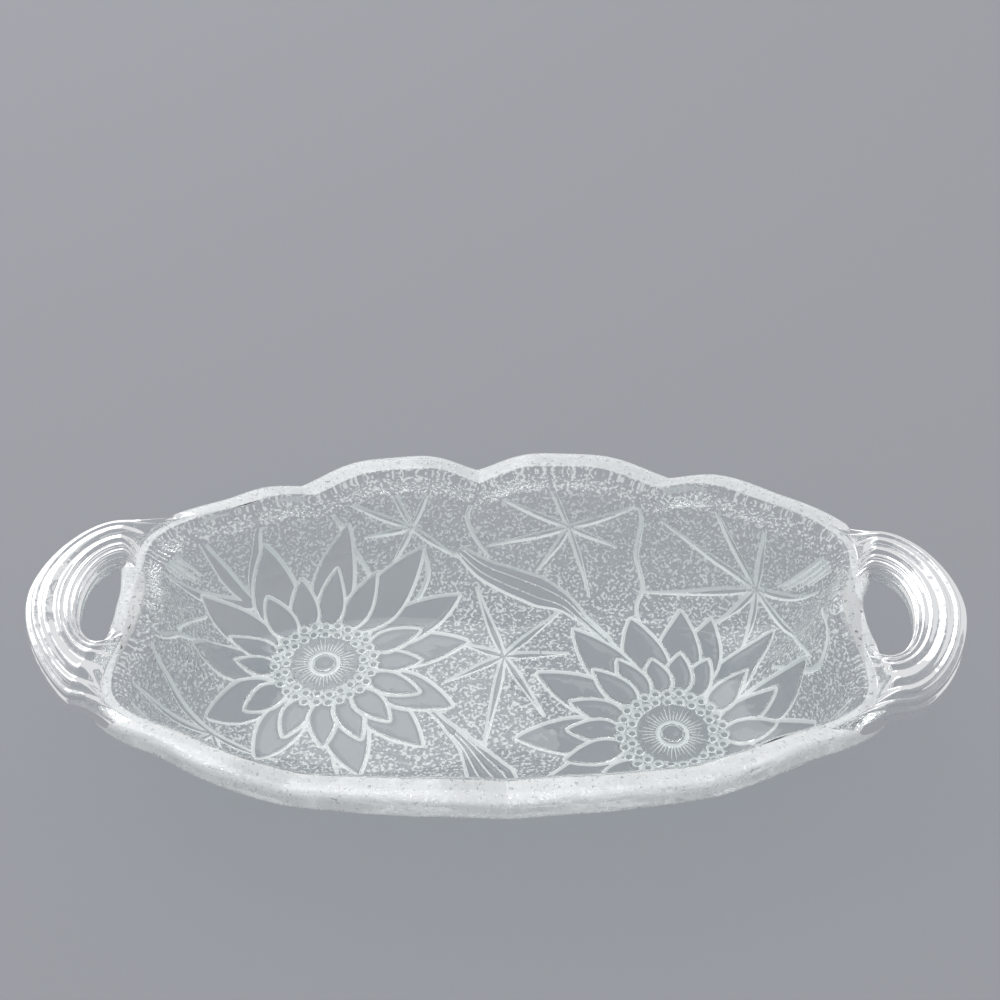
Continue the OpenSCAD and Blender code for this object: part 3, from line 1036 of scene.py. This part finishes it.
class Relief:
    """The height field of the underside: later features lie over earlier ones, with a groove between.

    Args:
        features: the raised forms.
    """

    groove_w = 0.6
    groove_floor = 0.3

    def __init__(self, features: list) -> None:
        """Keeps the raised forms."""
        self.features = features

    def at(self, p: Array) -> tuple:
        """Finds the relief at pattern points.

        Args:
            p: pattern points, N by 2.

        Returns:
            Heights, whether a feature covers each point, and how far inside a frosted line it is.
        """
        height = np.zeros(len(p))
        raised = np.zeros(len(p), bool)
        line = np.full(len(p), NO_LINE)
        for f in self.features:
            mid, radius = f.reach()
            near = np.flatnonzero(np.hypot(*(p - mid).T) < radius)
            if not len(near):
                continue
            s = f.shape(p[near])
            over = s.inside > 0
            ease = self.groove_floor + (1 - self.groove_floor) * smooth(-s.inside / self.groove_w)
            height[near] = np.where(over, s.height, height[near] * ease)
            line[near] = np.where(over, s.line, np.maximum(line[near], s.line))
            raised[near[over]] = True
        return height, raised, line

    def samples(self) -> Array:
        """Points that follow every feature's outline and crown."""
        return np.concatenate([f.samples() for f in self.features])


# Meshes


def thin_out(points: Array, gap: float, first: int) -> Array:
    """Keeps points that lie at least about gap apart, with the earlier ones first.

    Args:
        points: N by 2.
        gap: least distance.
        first: how many points at the start are always kept.

    Returns:
        The numbers of the points kept.
    """
    cells = np.floor(points / gap).astype(np.int64).tolist()
    spots = points.tolist()
    around = [(dx, dy) for dx in (-1, 0, 1) for dy in (-1, 0, 1)]
    taken = {}
    keep = []
    for i, ((cx, cy), (x, y)) in enumerate(zip(cells, spots)):
        near = [j for dx, dy in around for j in taken.get((cx + dx, cy + dy), ())] if i >= first else []
        if any((spots[j][0] - x) ** 2 + (spots[j][1] - y) ** 2 < gap * gap for j in near):
            continue
        taken.setdefault((cx, cy), []).append(i)
        keep.append(i)
    return np.array(keep)


@dataclass(frozen=True)
class MeshDensity:
    """How finely the glass is meshed, in millimetres, counts, shares and turns in degrees."""

    columns: int = 900
    grid: float = 1.15
    row_share: float = 0.866
    jitter: float = 0.22
    gap: float = 0.24
    edge_gap: float = 0.25
    far_share: float = 0.85
    cove_shares: tuple = (0, 0.25, 0.5, 0.75, 1)
    flat_shares: tuple = (0.33, 0.66)
    round_shares: tuple = (0, 0.2, 0.4, 0.6, 0.8, 1)
    inner_turns: tuple = (72, 54, 36, 18, 0)
    wall_rings: int = 13
    knee_rings: int = 25
    floor_shares: tuple = (0.75, 0.5, 0.25)
    least_area: float = 1e-9
    same_point: float = 1e-7


class GlassBuilder:
    """Builds the glass of the bowl: relief outside, smooth inside and the lip between them.

    Args:
        form: the tray's form.
        relief: the relief of its underside.
        density: how finely it is meshed.
    """

    def __init__(self, form: TrayForm, relief: Relief, density: MeshDensity) -> None:
        """Keeps what the glass is built from."""
        self.form, self.relief, self.density = form, relief, density

    def grid(self) -> Array:
        """Fills the pattern with points.

        Returns:
            Points in staggered rows, each a little out of place.
        """
        d = self.density
        far = self.form.size.length * d.far_share
        xs, ys = np.meshgrid(np.arange(-far, far, d.grid), np.arange(-far, far, d.grid * d.row_share))
        xs[1::2] += d.grid / 2
        grid = np.stack([xs.ravel(), ys.ravel()], 1)
        stray = d.jitter * d.grid
        return grid + np.random.default_rng(SEED).uniform(-stray, stray, grid.shape)

    def outside_points(self, roots: list) -> tuple:
        """Pattern points of the whole outside: the rim's edge first, then the handle roots.

        Args:
            roots: closed lines of pattern points, one for each place where a handle joins.

        Returns:
            The points, and for each root the numbers of its points.
        """
        d = self.density
        a = directions(d.columns)
        slope_end, cove_end, face_end, top_end = self.form.marks(a)
        arc_end = face_end + self.form.size.lip_round * math.pi / 2
        ends = np.cumsum([d.columns] + [len(root) for root in roots])
        numbers = [np.arange(lo, hi) for lo, hi in zip(ends[:-1], ends[1:])]
        first = ends[-1]
        parts = [polar(top_end, a)] + roots + [self.relief.samples()]
        for lo, hi, shares in ((slope_end, cove_end, d.cove_shares), (cove_end, face_end, d.flat_shares),
                               (face_end, arc_end, d.round_shares), (arc_end, top_end, d.flat_shares)):
            parts += [polar(lo + (hi - lo) * share, a) for share in shares]
        pts = np.concatenate(parts + [self.grid()])
        direction, dist = plan(pts)
        inside = dist < self.form.marks(direction)[3] - d.edge_gap
        inside[:first] = True
        pts = pts[inside]
        return pts[thin_out(pts, d.gap, first)], numbers

    def triangulate(self, pts: Array, loops: list) -> Array:
        """Triangles over the outside's points.

        Args:
            pts: pattern points with the rim's edge first.
            loops: numbers of the points of each closed line that edges must follow.

        Returns:
            Triangles as numbers of pts, M by 3.
        """
        f = self.form
        a, dist = plan(pts)
        q = polar(f.rim_r(a) * dist / f.marks(a)[3], a)
        edges = [(int(p), int(r)) for loop in loops for p, r in zip(loop, np.roll(loop, -1))]
        _, _, faces, origin, _, _ = delaunay_2d_cdt([Vector(v) for v in q], edges, [], 0,
                                                    self.density.same_point)
        back = np.array([o[0] if o else -1 for o in origin])
        tris = back[np.array([list(x) for x in faces])]
        if (tris < 0).any():
            raise RuntimeError("the outline of a handle's root crosses itself")
        p, r, s = q[tris[:, 0]], q[tris[:, 1]], q[tris[:, 2]]
        turn = (r[:, 0] - p[:, 0]) * (s[:, 1] - p[:, 1]) - (r[:, 1] - p[:, 1]) * (s[:, 0] - p[:, 0])
        tris[turn > 0] = tris[turn > 0][:, ::-1]
        return tris[np.abs(turn) > self.density.least_area]

    def inside_rings(self) -> Array:
        """Rings from the lip's inner edge down the wall and over the floor towards its middle.

        Returns:
            Points, rings by columns by 3.
        """
        f, s, d = self.form, self.form.size, self.density
        a = directions(d.columns)
        level = np.ones(d.columns)
        z, inner = f.rim_z(a), f.lip_inner(a)
        rings = []

        def ring(r: Array, h: Array) -> None:
            """Adds a ring of radius r at height h."""
            rings.append(np.stack([r * np.cos(a), r * np.sin(a), h], 1))

        lean = math.pi / 2 - f.slope
        for t in np.radians(d.inner_turns):
            drop = s.inner_round * (1 - np.sin(t))
            ring(inner + s.inner_round * (1 - np.cos(t)) - drop * math.tan(lean), z - drop)
        knee = s.knee_r - s.glass_t
        knee_z = s.relief_h + s.knee_r
        top_z = z - s.inner_round
        knee_top = knee_z - knee * math.cos(f.slope)
        for u in np.linspace(0, 1, d.wall_rings + 1)[1:]:
            h = top_z + (knee_top - top_z) * u
            ring(inner - (z - h) / math.tan(f.slope), h)
        for u in np.linspace(1, 0, d.knee_rings + 1)[1:]:
            t = f.slope * u
            ring(f.floor_r(a) + knee * math.sin(t), level * (knee_z - knee * math.cos(t)))
        for u in d.floor_shares:
            ring(f.floor_r(a) * u, level * (s.relief_h + s.glass_t))
        return np.array(rings)


# Handles


@dataclass(frozen=True)
class HandleSize:
    """Sizes of a handle in millimetres, with its turn in degrees."""

    reach: float = 25.8
    span: float = 56.6
    hole: float = 31.0
    width: float = 13.2
    depth: float = 10.4
    lift: float = 5.2
    rise: float = 2.1
    turn: float = 0.8
    groove: float = 0.7
    ridges: int = 16
    crowding: float = 0.3
    lead_share: float = 0.32
    hole_lead: float = 5.0
    loop_power: float = 1.15
    front_power: float = 1.15
    hole_power: float = 1.0
    band_power: float = 0.75
    spread: float = 5.0
    flare: float = 2.2
    front_flare: float = 4.0
    run_over: float = 2.0
    front_out: float = 0.0
    front_in: float = 3.0


# The left handle is the broader one: its front arm swings out to the rim's corner.
HANDLES = {-1.0: HandleSize(width=14.0, front_power=1.45, front_out=3.0), 1.0: HandleSize()}


class HandleBuilder:
    """Sweeps the ridged band of a handle from one root on the bowl to the other.

    Args:
        form: the tray's form.
        size: the handle's sizes.
        sign: 1 for the right handle and -1 for the left.
    """

    columns = 144
    stations = 80
    lead_shares = (0.06, 0.14, 0.25, 0.4, 0.6, 0.8)
    lead_power = 1.6
    ridge_rise = 5

    def __init__(self, form: TrayForm, size: HandleSize, sign: float) -> None:
        """Works out where the loop and its finger hole begin and how high the band lies.

        Args:
            form: the tray's form.
            size: the handle's sizes.
            sign: 1 for the right handle and -1 for the left.
        """
        self.form, self.size, self.sign = form, size, sign
        half = form.size.length / 2
        self.lead, self.hole_lead = half + size.reach * size.lead_share, half + size.hole_lead
        self.tip = half + size.reach
        self.top = form.rim_z(np.array([math.radians(form.size.scallop_dirs[0])]))[0] + size.lift

    def side(self, t: float, lead: float, tip: float, half: float, power: float) -> Array:
        """A place in plan on one side of the right handle's band.

        Args:
            t: turn along the loop, in radians.
            lead: where the loop begins.
            tip: where it reaches furthest.
            half: half its span.
            power: how pointed it is.

        Returns:
            The place, with x along the tray.
        """
        c, d = max(math.cos(t), 0.0), math.sin(t)
        return np.array([lead + (tip - lead) * c ** power, half * math.copysign(abs(d) ** power, d)])

    def section(self, t: float, groove: float, spread: float = 0.0, flare: float = 0.0) -> Array:
        """Outline of the band.

        Args:
            t: turn along the loop, in radians.
            groove: depth of the grooves between the ridges.
            spread: how much further out the band's outer side lies.
            flare: how much further in its side along the finger hole lies.

        Returns:
            Points in space, columns by 3.
        """
        s = self.size
        front = math.sin(t) ** 2 if t * self.sign < 0 else 0.0
        inner = self.side(t, self.hole_lead, self.tip - s.width, s.hole / 2 - s.front_in * front,
                          s.hole_power)
        outer = self.side(t, self.lead, self.tip, s.span / 2 + s.front_out * front,
                          s.loop_power + (s.front_power - s.loop_power) * front)
        half = np.hypot(*(outer - inner)) / 2
        out = (outer - inner) / (2 * half)
        b = directions(self.columns)
        g = groove * (1 - np.cos(s.ridges * (b - s.crowding * np.sin(b)))) / 2
        cx, sx = np.cos(b), np.sin(b)
        across = np.sign(cx) * np.abs(cx) ** s.band_power
        along_out = (half - g) * across + np.where(across > 0, spread, flare) * across
        at = (inner + outer)[:, None] / 2 + out[:, None] * along_out
        z = (self.top + s.rise * math.cos(t) ** 2 - s.depth / 2
             + (s.depth / 2 - g) * np.sign(sx) * np.abs(sx) ** s.band_power)
        c, d = unit(s.turn)
        return np.stack([self.sign * (at[0] * c + at[1] * d), self.sign * (at[1] * c - at[0] * d), z], 1)

    def roots(self) -> list:
        """Finds where the band meets the glass.

        Returns:
            Closed lines of pattern points, one for each of the band's ends.
        """
        out = []
        for t in (-math.pi / 2, math.pi / 2):
            flare = self.size.front_flare if t * self.sign < 0 else self.size.flare
            ring = self.section(t, 0.0, self.size.spread, flare)
            out.append(self.form.root_line(ring[:, 1], ring[:, 2], self.sign, self.size.run_over))
        return out

    def lead_in(self, root: Array, t: float) -> list:
        """Rings from a root on the glass out to the loop.

        Args:
            root: the root's points in space.
            t: turn of the loop's end at this root.

        Returns:
            Rings with the ridges rising quickly out of the glass.
        """
        plain, ridged = self.section(t, 0.0), self.section(t, self.size.groove)
        out = []
        for u in self.lead_shares:
            ease = 1 - (1 - u) ** self.lead_power
            ring = root + (plain - root) * np.array([u, ease, ease])
            out.append(ring + (ridged - plain) * min(1.0, self.ridge_rise * u))
        return out

    def rings(self, first: Array, last: Array) -> list:
        """Rings from one root to the other.

        Args:
            first: points in space of the root where the loop begins.
            last: the same where it ends.

        Returns:
            Points of each ring, without the roots themselves.
        """
        turns = np.linspace(-math.pi / 2, math.pi / 2, self.stations)
        loop = [self.section(t, self.size.groove) for t in turns]
        return self.lead_in(first, turns[0]) + loop + self.lead_in(last, turns[-1])[::-1]


# Finishes


def srgb(code: str) -> tuple:
    """A colour written as #RRGGBB, as the linear values that a shader takes."""
    parts = [int(code[i:i + 2], 16) / 255 for i in (1, 3, 5)]
    return tuple(c / 12.92 if c <= 0.04045 else ((c + 0.055) / 1.055) ** 2.4 for c in parts) + (1.0,)


def add_node(tree: bpy.types.NodeTree, kind: str, settings: dict = None,
             links: dict = None) -> bpy.types.Node:
    """Adds a shader node.

    Args:
        tree: the material's node tree.
        kind: the node's type.
        settings: values for its inputs or its own settings, by name.
        links: output sockets to join to its inputs, by input name or number.

    Returns:
        The node.
    """
    node = tree.nodes.new(kind)
    for name, value in (settings or {}).items():
        if name in node.inputs:
            node.inputs[name].default_value = value
        else:
            setattr(node, name, value)
    for name, socket in (links or {}).items():
        tree.links.new(socket, node.inputs[name])
    return node


@dataclass(frozen=True)
class GlassFinish:
    """How one region of the pressed glass is finished.

    Args:
        name: the material's name.
        tint: colour of the glass.
        roughness: sharpness of what is seen through it.
        wave: size in millimetres of the slow waviness of the mould, and its strength.
        edge: how much the frosted lines of the relief scatter light.
        fleck: size in millimetres of the stipple's flecks, and how much they scatter.
        veil: how much the whole surface scatters, with small clear dots in it.
        ior: bending of light in soda-lime glass.
    """

    name: str
    tint: str = "#FBFDFD"
    roughness: float = 0.0
    wave: tuple = (9.0, 0.04)
    edge: float = 0.88
    fleck: tuple = (0.0, 0.0)
    veil: float = 0.0
    ior: float = 1.52


# Fire-polished soda-lime glass: clear to the bottom, with the slow waves that a mould leaves.
CLEAR = GlassFinish("clear_pressed_glass")
# The ground between the petals: the mould was stippled, so it sparkles and hides what lies behind.
STIPPLED = GlassFinish("stippled_pressed_glass", wave=(6.0, 0.1), fleck=(0.8, 0.7))
# Inside of the bowl: the plunger's smooth face, which gives clean reflections.
PLUNGER = GlassFinish("plunger_smooth_glass", wave=(14.0, 0.03), edge=0.0)
# Lip: thick and softly frosted by the mould's parting face, so that it reads as a solid white band.
RIM = GlassFinish("frosted_rim_glass", roughness=0.12, wave=(3.0, 0.1), veil=0.62)
# Handles: clear fire-polished glass, whose ridges draw long bright and dark streaks.
HANDLE = GlassFinish("fire_polished_handle_glass", wave=(7.0, 0.1), edge=0.7)


class Slot(Enum):
    """Material slots of the glass."""

    STIPPLED = 0
    PLUNGER = 1
    CLEAR = 2
    RIM = 3
    HANDLE = 4
    JOIN = 5


class GlassMaterial:
    """Makes the material of one glass finish.

    The glass is clear. The mould left it slightly frosted along the outlines of the relief, on the
    ground and on the lip, so that it scatters white light there. The light that reaches the floor
    passes through it.

    Args:
        finish: the finish.
    """

    wave_detail = 2.0
    wave_depth = 0.5
    line_edge = (-0.08, 0.1)
    dot_size = 0.9
    dot_range = (0.6, 0.68)
    dot_clear = 0.85
    grain_detail = 1.5
    grain_range = (0.5, 0.6)
    grain_strength = 0.6
    grain_depth = 0.6
    shade_colour = "#F9FBFB"

    def __init__(self, finish: GlassFinish) -> None:
        """Starts an empty material.

        Args:
            finish: the finish.
        """
        self.finish = finish
        self.material = bpy.data.materials.new(finish.name)
        self.material.use_nodes = True
        self.tree = self.material.node_tree
        self.tree.nodes.clear()

    def add(self, kind: str, settings: dict = None, links: dict = None) -> bpy.types.Node:
        """Adds a node to this material."""
        return add_node(self.tree, kind, settings, links)

    def noise(self, size: float, detail: float) -> bpy.types.NodeSocket:
        """Random grain with spots of size millimetres."""
        return self.add("ShaderNodeTexNoise", {"Scale": 1 / (size * MM), "Detail": detail},
                        {"Vector": self.coord.outputs["Object"]}).outputs["Fac"]

    def ramp(self, value: bpy.types.NodeSocket, source: tuple, target: tuple) -> bpy.types.NodeSocket:
        """Maps a value from one range to another.

        Args:
            value: the value.
            source: the ends of its range.
            target: what they become.

        Returns:
            The mapped value.
        """
        settings = {"From Min": source[0], "From Max": source[1],
                    "To Min": target[0], "To Max": target[1]}
        return self.add("ShaderNodeMapRange", settings, {"Value": value}).outputs["Result"]

    def surface(self) -> tuple:
        """Adds the waves, the frost and the stipple.

        Returns:
            The clearness and the normal of the glass.
        """
        f = self.finish
        size, strength = f.wave
        wave = self.noise(size, self.wave_detail)
        bump = self.add("ShaderNodeBump", {"Strength": strength, "Distance": size * MM * self.wave_depth},
                        {"Height": wave})
        normal = bump.outputs["Normal"]
        frost = self.add("ShaderNodeAttribute", {"attribute_name": "frost"})
        clear = self.ramp(frost.outputs["Fac"], self.line_edge, (1.0, 1.0 - f.edge))
        if f.veil:
            clear = self.ramp(self.noise(self.dot_size, self.wave_detail), self.dot_range,
                              (1.0 - f.veil, self.dot_clear))
        size, scatter = f.fleck
        if scatter:
            grain = self.noise(size, self.grain_detail)
            fleck = self.ramp(grain, self.grain_range, (1.0, 1.0 - scatter))
            clear = self.add("ShaderNodeMath", {"operation": "MULTIPLY"}, {0: fleck, 1: clear}).outputs[0]
            stipple = self.add("ShaderNodeBump", {"Strength": self.grain_strength,
                                                  "Distance": size * MM * self.grain_depth},
                               {"Height": grain, "Normal": normal})
            normal = stipple.outputs["Normal"]
        return clear, normal

    def make(self) -> bpy.types.Material:
        """Joins the glass with a see-through shader for the light that reaches the floor.

        Returns:
            The finished material.
        """
        f = self.finish
        self.coord = self.add("ShaderNodeTexCoord")
        clear, normal = self.surface()
        glass = self.add("ShaderNodeBsdfPrincipled",
                         {"Base Color": srgb(f.tint), "Roughness": f.roughness, "IOR": f.ior},
                         {"Normal": normal, "Transmission Weight": clear})
        path = self.add("ShaderNodeLightPath")
        passing = self.add("ShaderNodeMath", {"operation": "MAXIMUM"},
                           {0: path.outputs["Is Shadow Ray"], 1: path.outputs["Is Diffuse Ray"]})
        through = self.add("ShaderNodeBsdfTransparent", {"Color": srgb(self.shade_colour)})
        mix = self.add("ShaderNodeMixShader", links={
            0: passing.outputs[0], 1: glass.outputs["BSDF"], 2: through.outputs["BSDF"]})
        self.add("ShaderNodeOutputMaterial", links={"Surface": mix.outputs["Shader"]})
        return self.material


def plain_material(name: str, settings: dict) -> bpy.types.Material:
    """Makes a material of one shader.

    Args:
        name: the material's name.
        settings: the shader's settings.

    Returns:
        The material.
    """
    mat = bpy.data.materials.new(name)
    mat.use_nodes = True
    tree = mat.node_tree
    tree.nodes.clear()
    shader = add_node(tree, "ShaderNodeBsdfPrincipled", settings)
    add_node(tree, "ShaderNodeOutputMaterial", links={"Surface": shader.outputs["BSDF"]})
    return mat


def glass_materials() -> list:
    """Makes all the glass.

    Returns:
        The materials in the order of the slots.
    """
    finishes = {Slot.STIPPLED: STIPPLED, Slot.PLUNGER: PLUNGER, Slot.CLEAR: CLEAR, Slot.RIM: RIM,
                Slot.HANDLE: HANDLE}
    # Where two regions of the one pressing meet there is no surface, so light passes unbent.
    join = plain_material("unbroken_glass_join", {"Alpha": 0.0, "Specular IOR Level": 0.0})
    return [GlassMaterial(finishes[slot]).make() if slot in finishes else join for slot in Slot]


# Assembly


@dataclass
class Patch:
    """A surface as loose data, ready to become a piece.

    Args:
        verts: points in millimetres.
        tris: triangles.
        slots: material slot of each triangle.
        frost: how far inside a frosted line each point is, in millimetres.
    """

    verts: Array
    tris: Array
    slots: Array
    frost: Array


def make_piece(name: str, patch: Patch, materials: list) -> bpy.types.Object:
    """Makes a mesh object from a patch.

    Args:
        name: the object's name.
        patch: its surface.
        materials: the materials of its slots.

    Returns:
        The object, linked to the scene.
    """
    used = np.unique(patch.tris)
    back = np.full(len(patch.verts), -1)
    back[used] = np.arange(len(used))
    tris = back[patch.tris]
    mesh = bpy.data.meshes.new(name)
    mesh.vertices.add(len(used))
    mesh.vertices.foreach_set("co", (patch.verts[used] * MM).ravel())
    mesh.loops.add(len(tris) * 3)
    mesh.loops.foreach_set("vertex_index", tris.ravel())
    mesh.polygons.add(len(tris))
    mesh.polygons.foreach_set("loop_start", np.arange(len(tris)) * 3)
    mesh.polygons.foreach_set("material_index", patch.slots.astype(np.int32))
    mesh.update(calc_edges=True)
    for m in materials:
        mesh.materials.append(m)
    frost = mesh.attributes.new("frost", "FLOAT", "POINT")
    frost.data.foreach_set("value", patch.frost[used].astype(np.float32))
    mesh.shade_smooth()
    if mesh.validate(verbose=False):
        LOG.warning("%s: the mesh had faults", name)
    obj = bpy.data.objects.new(name, mesh)
    bpy.context.scene.collection.objects.link(obj)
    LOG.info("%s: %d triangles", name, len(tris))
    return obj


def inside_loop(p: Array, loop: Array) -> Array:
    """Tells which points lie inside a closed line.

    Args:
        p: points, N by 2.
        loop: the line's points, M by 2.

    Returns:
        A truth value for each point.
    """
    out = np.zeros(len(p), bool)
    for a, b in zip(loop, np.roll(loop, -1, 0)):
        if a[1] == b[1]:
            continue
        cross = (a[1] > p[:, 1]) != (b[1] > p[:, 1])
        x = a[0] + (p[:, 1] - a[1]) / (b[1] - a[1]) * (b[0] - a[0])
        out ^= cross & (p[:, 0] < x)
    return out


class PressedTray:
    """The tray's glass: lays out the whole outside once, then makes the bowl and the handles from it.

    Args:
        size: the tray's sizes.
        density: how finely the glass is meshed.
    """

    relief_fade = 2.0
    names = {-1.0: "left_handle", 1.0: "right_handle"}
    bowl_nodes = ("bowl", "left_petals", "right_petals", "left_beads", "right_beads", "left_button",
                  "right_button", "pad_veins", "pad_edges", "flower_buds", "handle_combs")

    def __init__(self, size: TraySize, density: MeshDensity) -> None:
        """Lays out the outside: its points, triangles, finishes and frosted lines.

        Args:
            size: the tray's sizes.
            density: how finely the glass is meshed.
        """
        self.form = TrayForm(size)
        self.relief = Relief(ReliefLayout(size.relief_h).features())
        self.builder = GlassBuilder(self.form, self.relief, density)
        self.handles = [HandleBuilder(self.form, handle, sign) for sign, handle in HANDLES.items()]
        roots = [root for handle in self.handles for root in handle.roots()]
        self.pts, self.roots = self.builder.outside_points(roots)
        LOG.info("outside: %d points", len(self.pts))
        self.tris = self.builder.triangulate(self.pts, self.roots)
        self.lay_relief()
        self.sort_faces()

    def lay_relief(self) -> None:
        """Places the outside's points in space, with the relief fading out below the lip."""
        height, _, line = self.relief.at(self.pts)
        direction, dist = plan(self.pts)
        slope_end = self.form.marks(direction)[0]
        height = height * smooth((slope_end - dist) / self.relief_fade)
        for root in self.roots:
            height[root] = 0
        self.verts = self.form.outside(self.pts, height)
        self.frost = np.where(dist > slope_end, NO_LINE, line)

    def sort_faces(self) -> None:
        """Gives each triangle of the outside its slot and finds those that the handles cover."""
        centre = self.pts[self.tris].mean(1)
        raised = self.relief.at(centre)[1]
        direction, dist = plan(centre)
        self.slots = np.where(raised, Slot.CLEAR.value, Slot.STIPPLED.value)
        self.slots[dist > self.form.marks(direction)[1]] = Slot.RIM.value
        self.contact = [inside_loop(centre, self.pts[root]) for root in self.roots]
        for covered in self.contact:
            self.slots[covered] = Slot.JOIN.value

    def bowl(self, materials: list) -> bpy.types.Object:
        """Makes the bowl with all its relief.

        Args:
            materials: the materials of the slots.

        Returns:
            The piece.
        """
        s, n, base = self.form.size, self.builder.density.columns, len(self.verts)
        rings = self.builder.inside_rings()
        rows = [np.arange(n)] + [base + i * n + np.arange(n) for i in range(len(rings))]
        middle = np.full(n, base + len(rings) * n)
        inner = np.concatenate([band(rows), np.stack([rows[-1], np.roll(rows[-1], -1), middle], 1)])
        verts = np.concatenate([self.verts, rings.reshape(-1, 3), [[0, 0, s.relief_h + s.glass_t]]])
        slots = np.concatenate([self.slots, np.full(len(inner), Slot.PLUNGER.value)])
        frost = np.concatenate([self.frost, np.full(len(verts) - base, NO_LINE)])
        patch = Patch(verts, np.concatenate([self.tris, inner]), slots, frost)
        return make_piece("tray_glass", patch, materials)

    def handle(self, i: int, materials: list) -> bpy.types.Object:
        """Makes a handle.

        Args:
            i: 0 for the left handle and 1 for the right.
            materials: the materials of the slots.

        Returns:
            The piece, closed by the faces that it shares with the bowl.
        """
        h, base = self.handles[i], len(self.verts)
        ends = slice(2 * i, 2 * i + 2)
        first, last = self.roots[ends]
        rings = h.rings(self.verts[first], self.verts[last])
        verts = np.concatenate([self.verts] + rings)
        rows = [first] + [base + k * h.columns + np.arange(h.columns) for k in range(len(rings))] + [last]
        sides = band(rows)
        caps = np.concatenate([self.tris[covered] for covered in self.contact[ends]])[:, ::-1]
        slots = np.repeat([Slot.HANDLE.value, Slot.JOIN.value], [len(sides), len(caps)])
        patch = Patch(verts, np.concatenate([sides, caps]), slots, np.full(len(verts), NO_LINE))
        return make_piece(self.names[h.sign] + "_glass", patch, materials)

    def build(self) -> list:
        """Makes the bowl and the handles.

        Returns:
            The pieces, each with the CAD nodes that it stands for.
        """
        materials = glass_materials()
        out = [(self.bowl(materials), self.bowl_nodes)]
        return out + [(self.handle(i, materials), (self.names[h.sign],))
                      for i, h in enumerate(self.handles)]


# Stage


@dataclass(frozen=True)
class CameraPlace:
    """The photograph's camera, solved from the tray's own lines. Lengths in mm, angles in degrees."""

    focal_px: float = 1620.0
    frame_px: float = 1000.0
    elevation: float = 44.26
    azimuth: float = 3.19
    roll: float = -1.97
    shift_x: float = -5.27
    shift_y: float = 204.58
    distance: float = 421.87
    sensor_w: float = 36.0
    clip: tuple = (10.0, 20000.0)

    def make(self) -> None:
        """Makes the camera and sets it as the scene's."""
        e, a, r = (math.radians(v) for v in (self.elevation, self.azimuth, self.roll))
        back = Vector((math.sin(a) * math.cos(e), -math.cos(a) * math.cos(e), math.sin(e)))
        fwd = -back
        right = fwd.cross(Vector((0, 0, 1))).normalized()
        up = right.cross(fwd)
        right, up = math.cos(r) * right + math.sin(r) * up, -math.sin(r) * right + math.cos(r) * up
        k = self.distance / self.focal_px
        offset = right * (self.shift_x * k) - up * (self.shift_y * k) + fwd * self.distance
        data = bpy.data.cameras.new("camera")
        data.sensor_width = self.sensor_w
        data.lens = self.focal_px / self.frame_px * data.sensor_width
        data.clip_start, data.clip_end = (v * MM for v in self.clip)
        cam = bpy.data.objects.new("camera", data)
        bpy.context.scene.collection.objects.link(cam)
        turn = Matrix((right, up, back)).transposed().to_4x4()
        cam.matrix_world = Matrix.Translation(-offset * MM) @ turn
        bpy.context.scene.camera = cam


@dataclass(frozen=True)
class Studio:
    """The floor and the light. Lengths in metres, power in watts."""

    floor_w: float = 6.0
    floor_colour: str = "#A3A5AA"
    floor_roughness: float = 0.9
    floor_shine: float = 0.1
    world_colour: str = "#F8F9FB"
    world_strength: float = 0.78
    key_at: tuple = (-0.5, 0.7, 1.0)
    key_w: float = 1.0
    key_power: float = 4.5

    def floor(self) -> None:
        """Makes the pale matte floor."""
        bpy.ops.mesh.primitive_plane_add(size=self.floor_w, location=(0, 0, 0))
        floor = bpy.context.object
        floor.name = "floor"
        floor.data.materials.append(plain_material("pale_floor", {
            "Base Color": srgb(self.floor_colour), "Roughness": self.floor_roughness,
            "Specular IOR Level": self.floor_shine}))

    def world(self) -> None:
        """Makes the plain surround."""
        world = bpy.data.worlds.new("studio")
        bpy.context.scene.world = world
        world.use_nodes = True
        tree = world.node_tree
        tree.nodes.clear()
        back = add_node(tree, "ShaderNodeBackground",
                        {"Color": srgb(self.world_colour), "Strength": self.world_strength})
        add_node(tree, "ShaderNodeOutputWorld", links={"Surface": back.outputs["Background"]})

    def key(self) -> None:
        """Makes the square soft light that faces the tray."""
        data = bpy.data.lights.new("key", "AREA")
        data.shape = "SQUARE"
        data.size = self.key_w
        data.energy = self.key_power
        lamp = bpy.data.objects.new("key", data)
        bpy.context.scene.collection.objects.link(lamp)
        lamp.location = self.key_at
        lamp.rotation_mode = "QUATERNION"
        lamp.rotation_quaternion = (-Vector(self.key_at)).to_track_quat("-Z", "Y")

    def make(self) -> None:
        """Makes the floor, the surround and the light."""
        self.floor()
        self.world()
        self.key()


def main() -> None:
    """Builds the scene and notes how large the looks are."""
    logging.basicConfig(level=logging.INFO, format="%(name)s: %(message)s")
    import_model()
    for piece, nodes in PressedTray(TraySize(), MeshDensity()).build():
        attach(piece, "root")
        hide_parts(*nodes)
    Studio().make()
    CameraPlace().make()
    scene = bpy.context.scene
    scene.view_settings.view_transform = "Standard"
    # Light crosses many faces of glass, and joins as well, before it leaves the tray.
    scene.cycles.max_bounces = 24
    scene.cycles.transmission_bounces = 20
    scene.cycles.transparent_max_bounces = 32


if __name__ == "__main__":
    main()
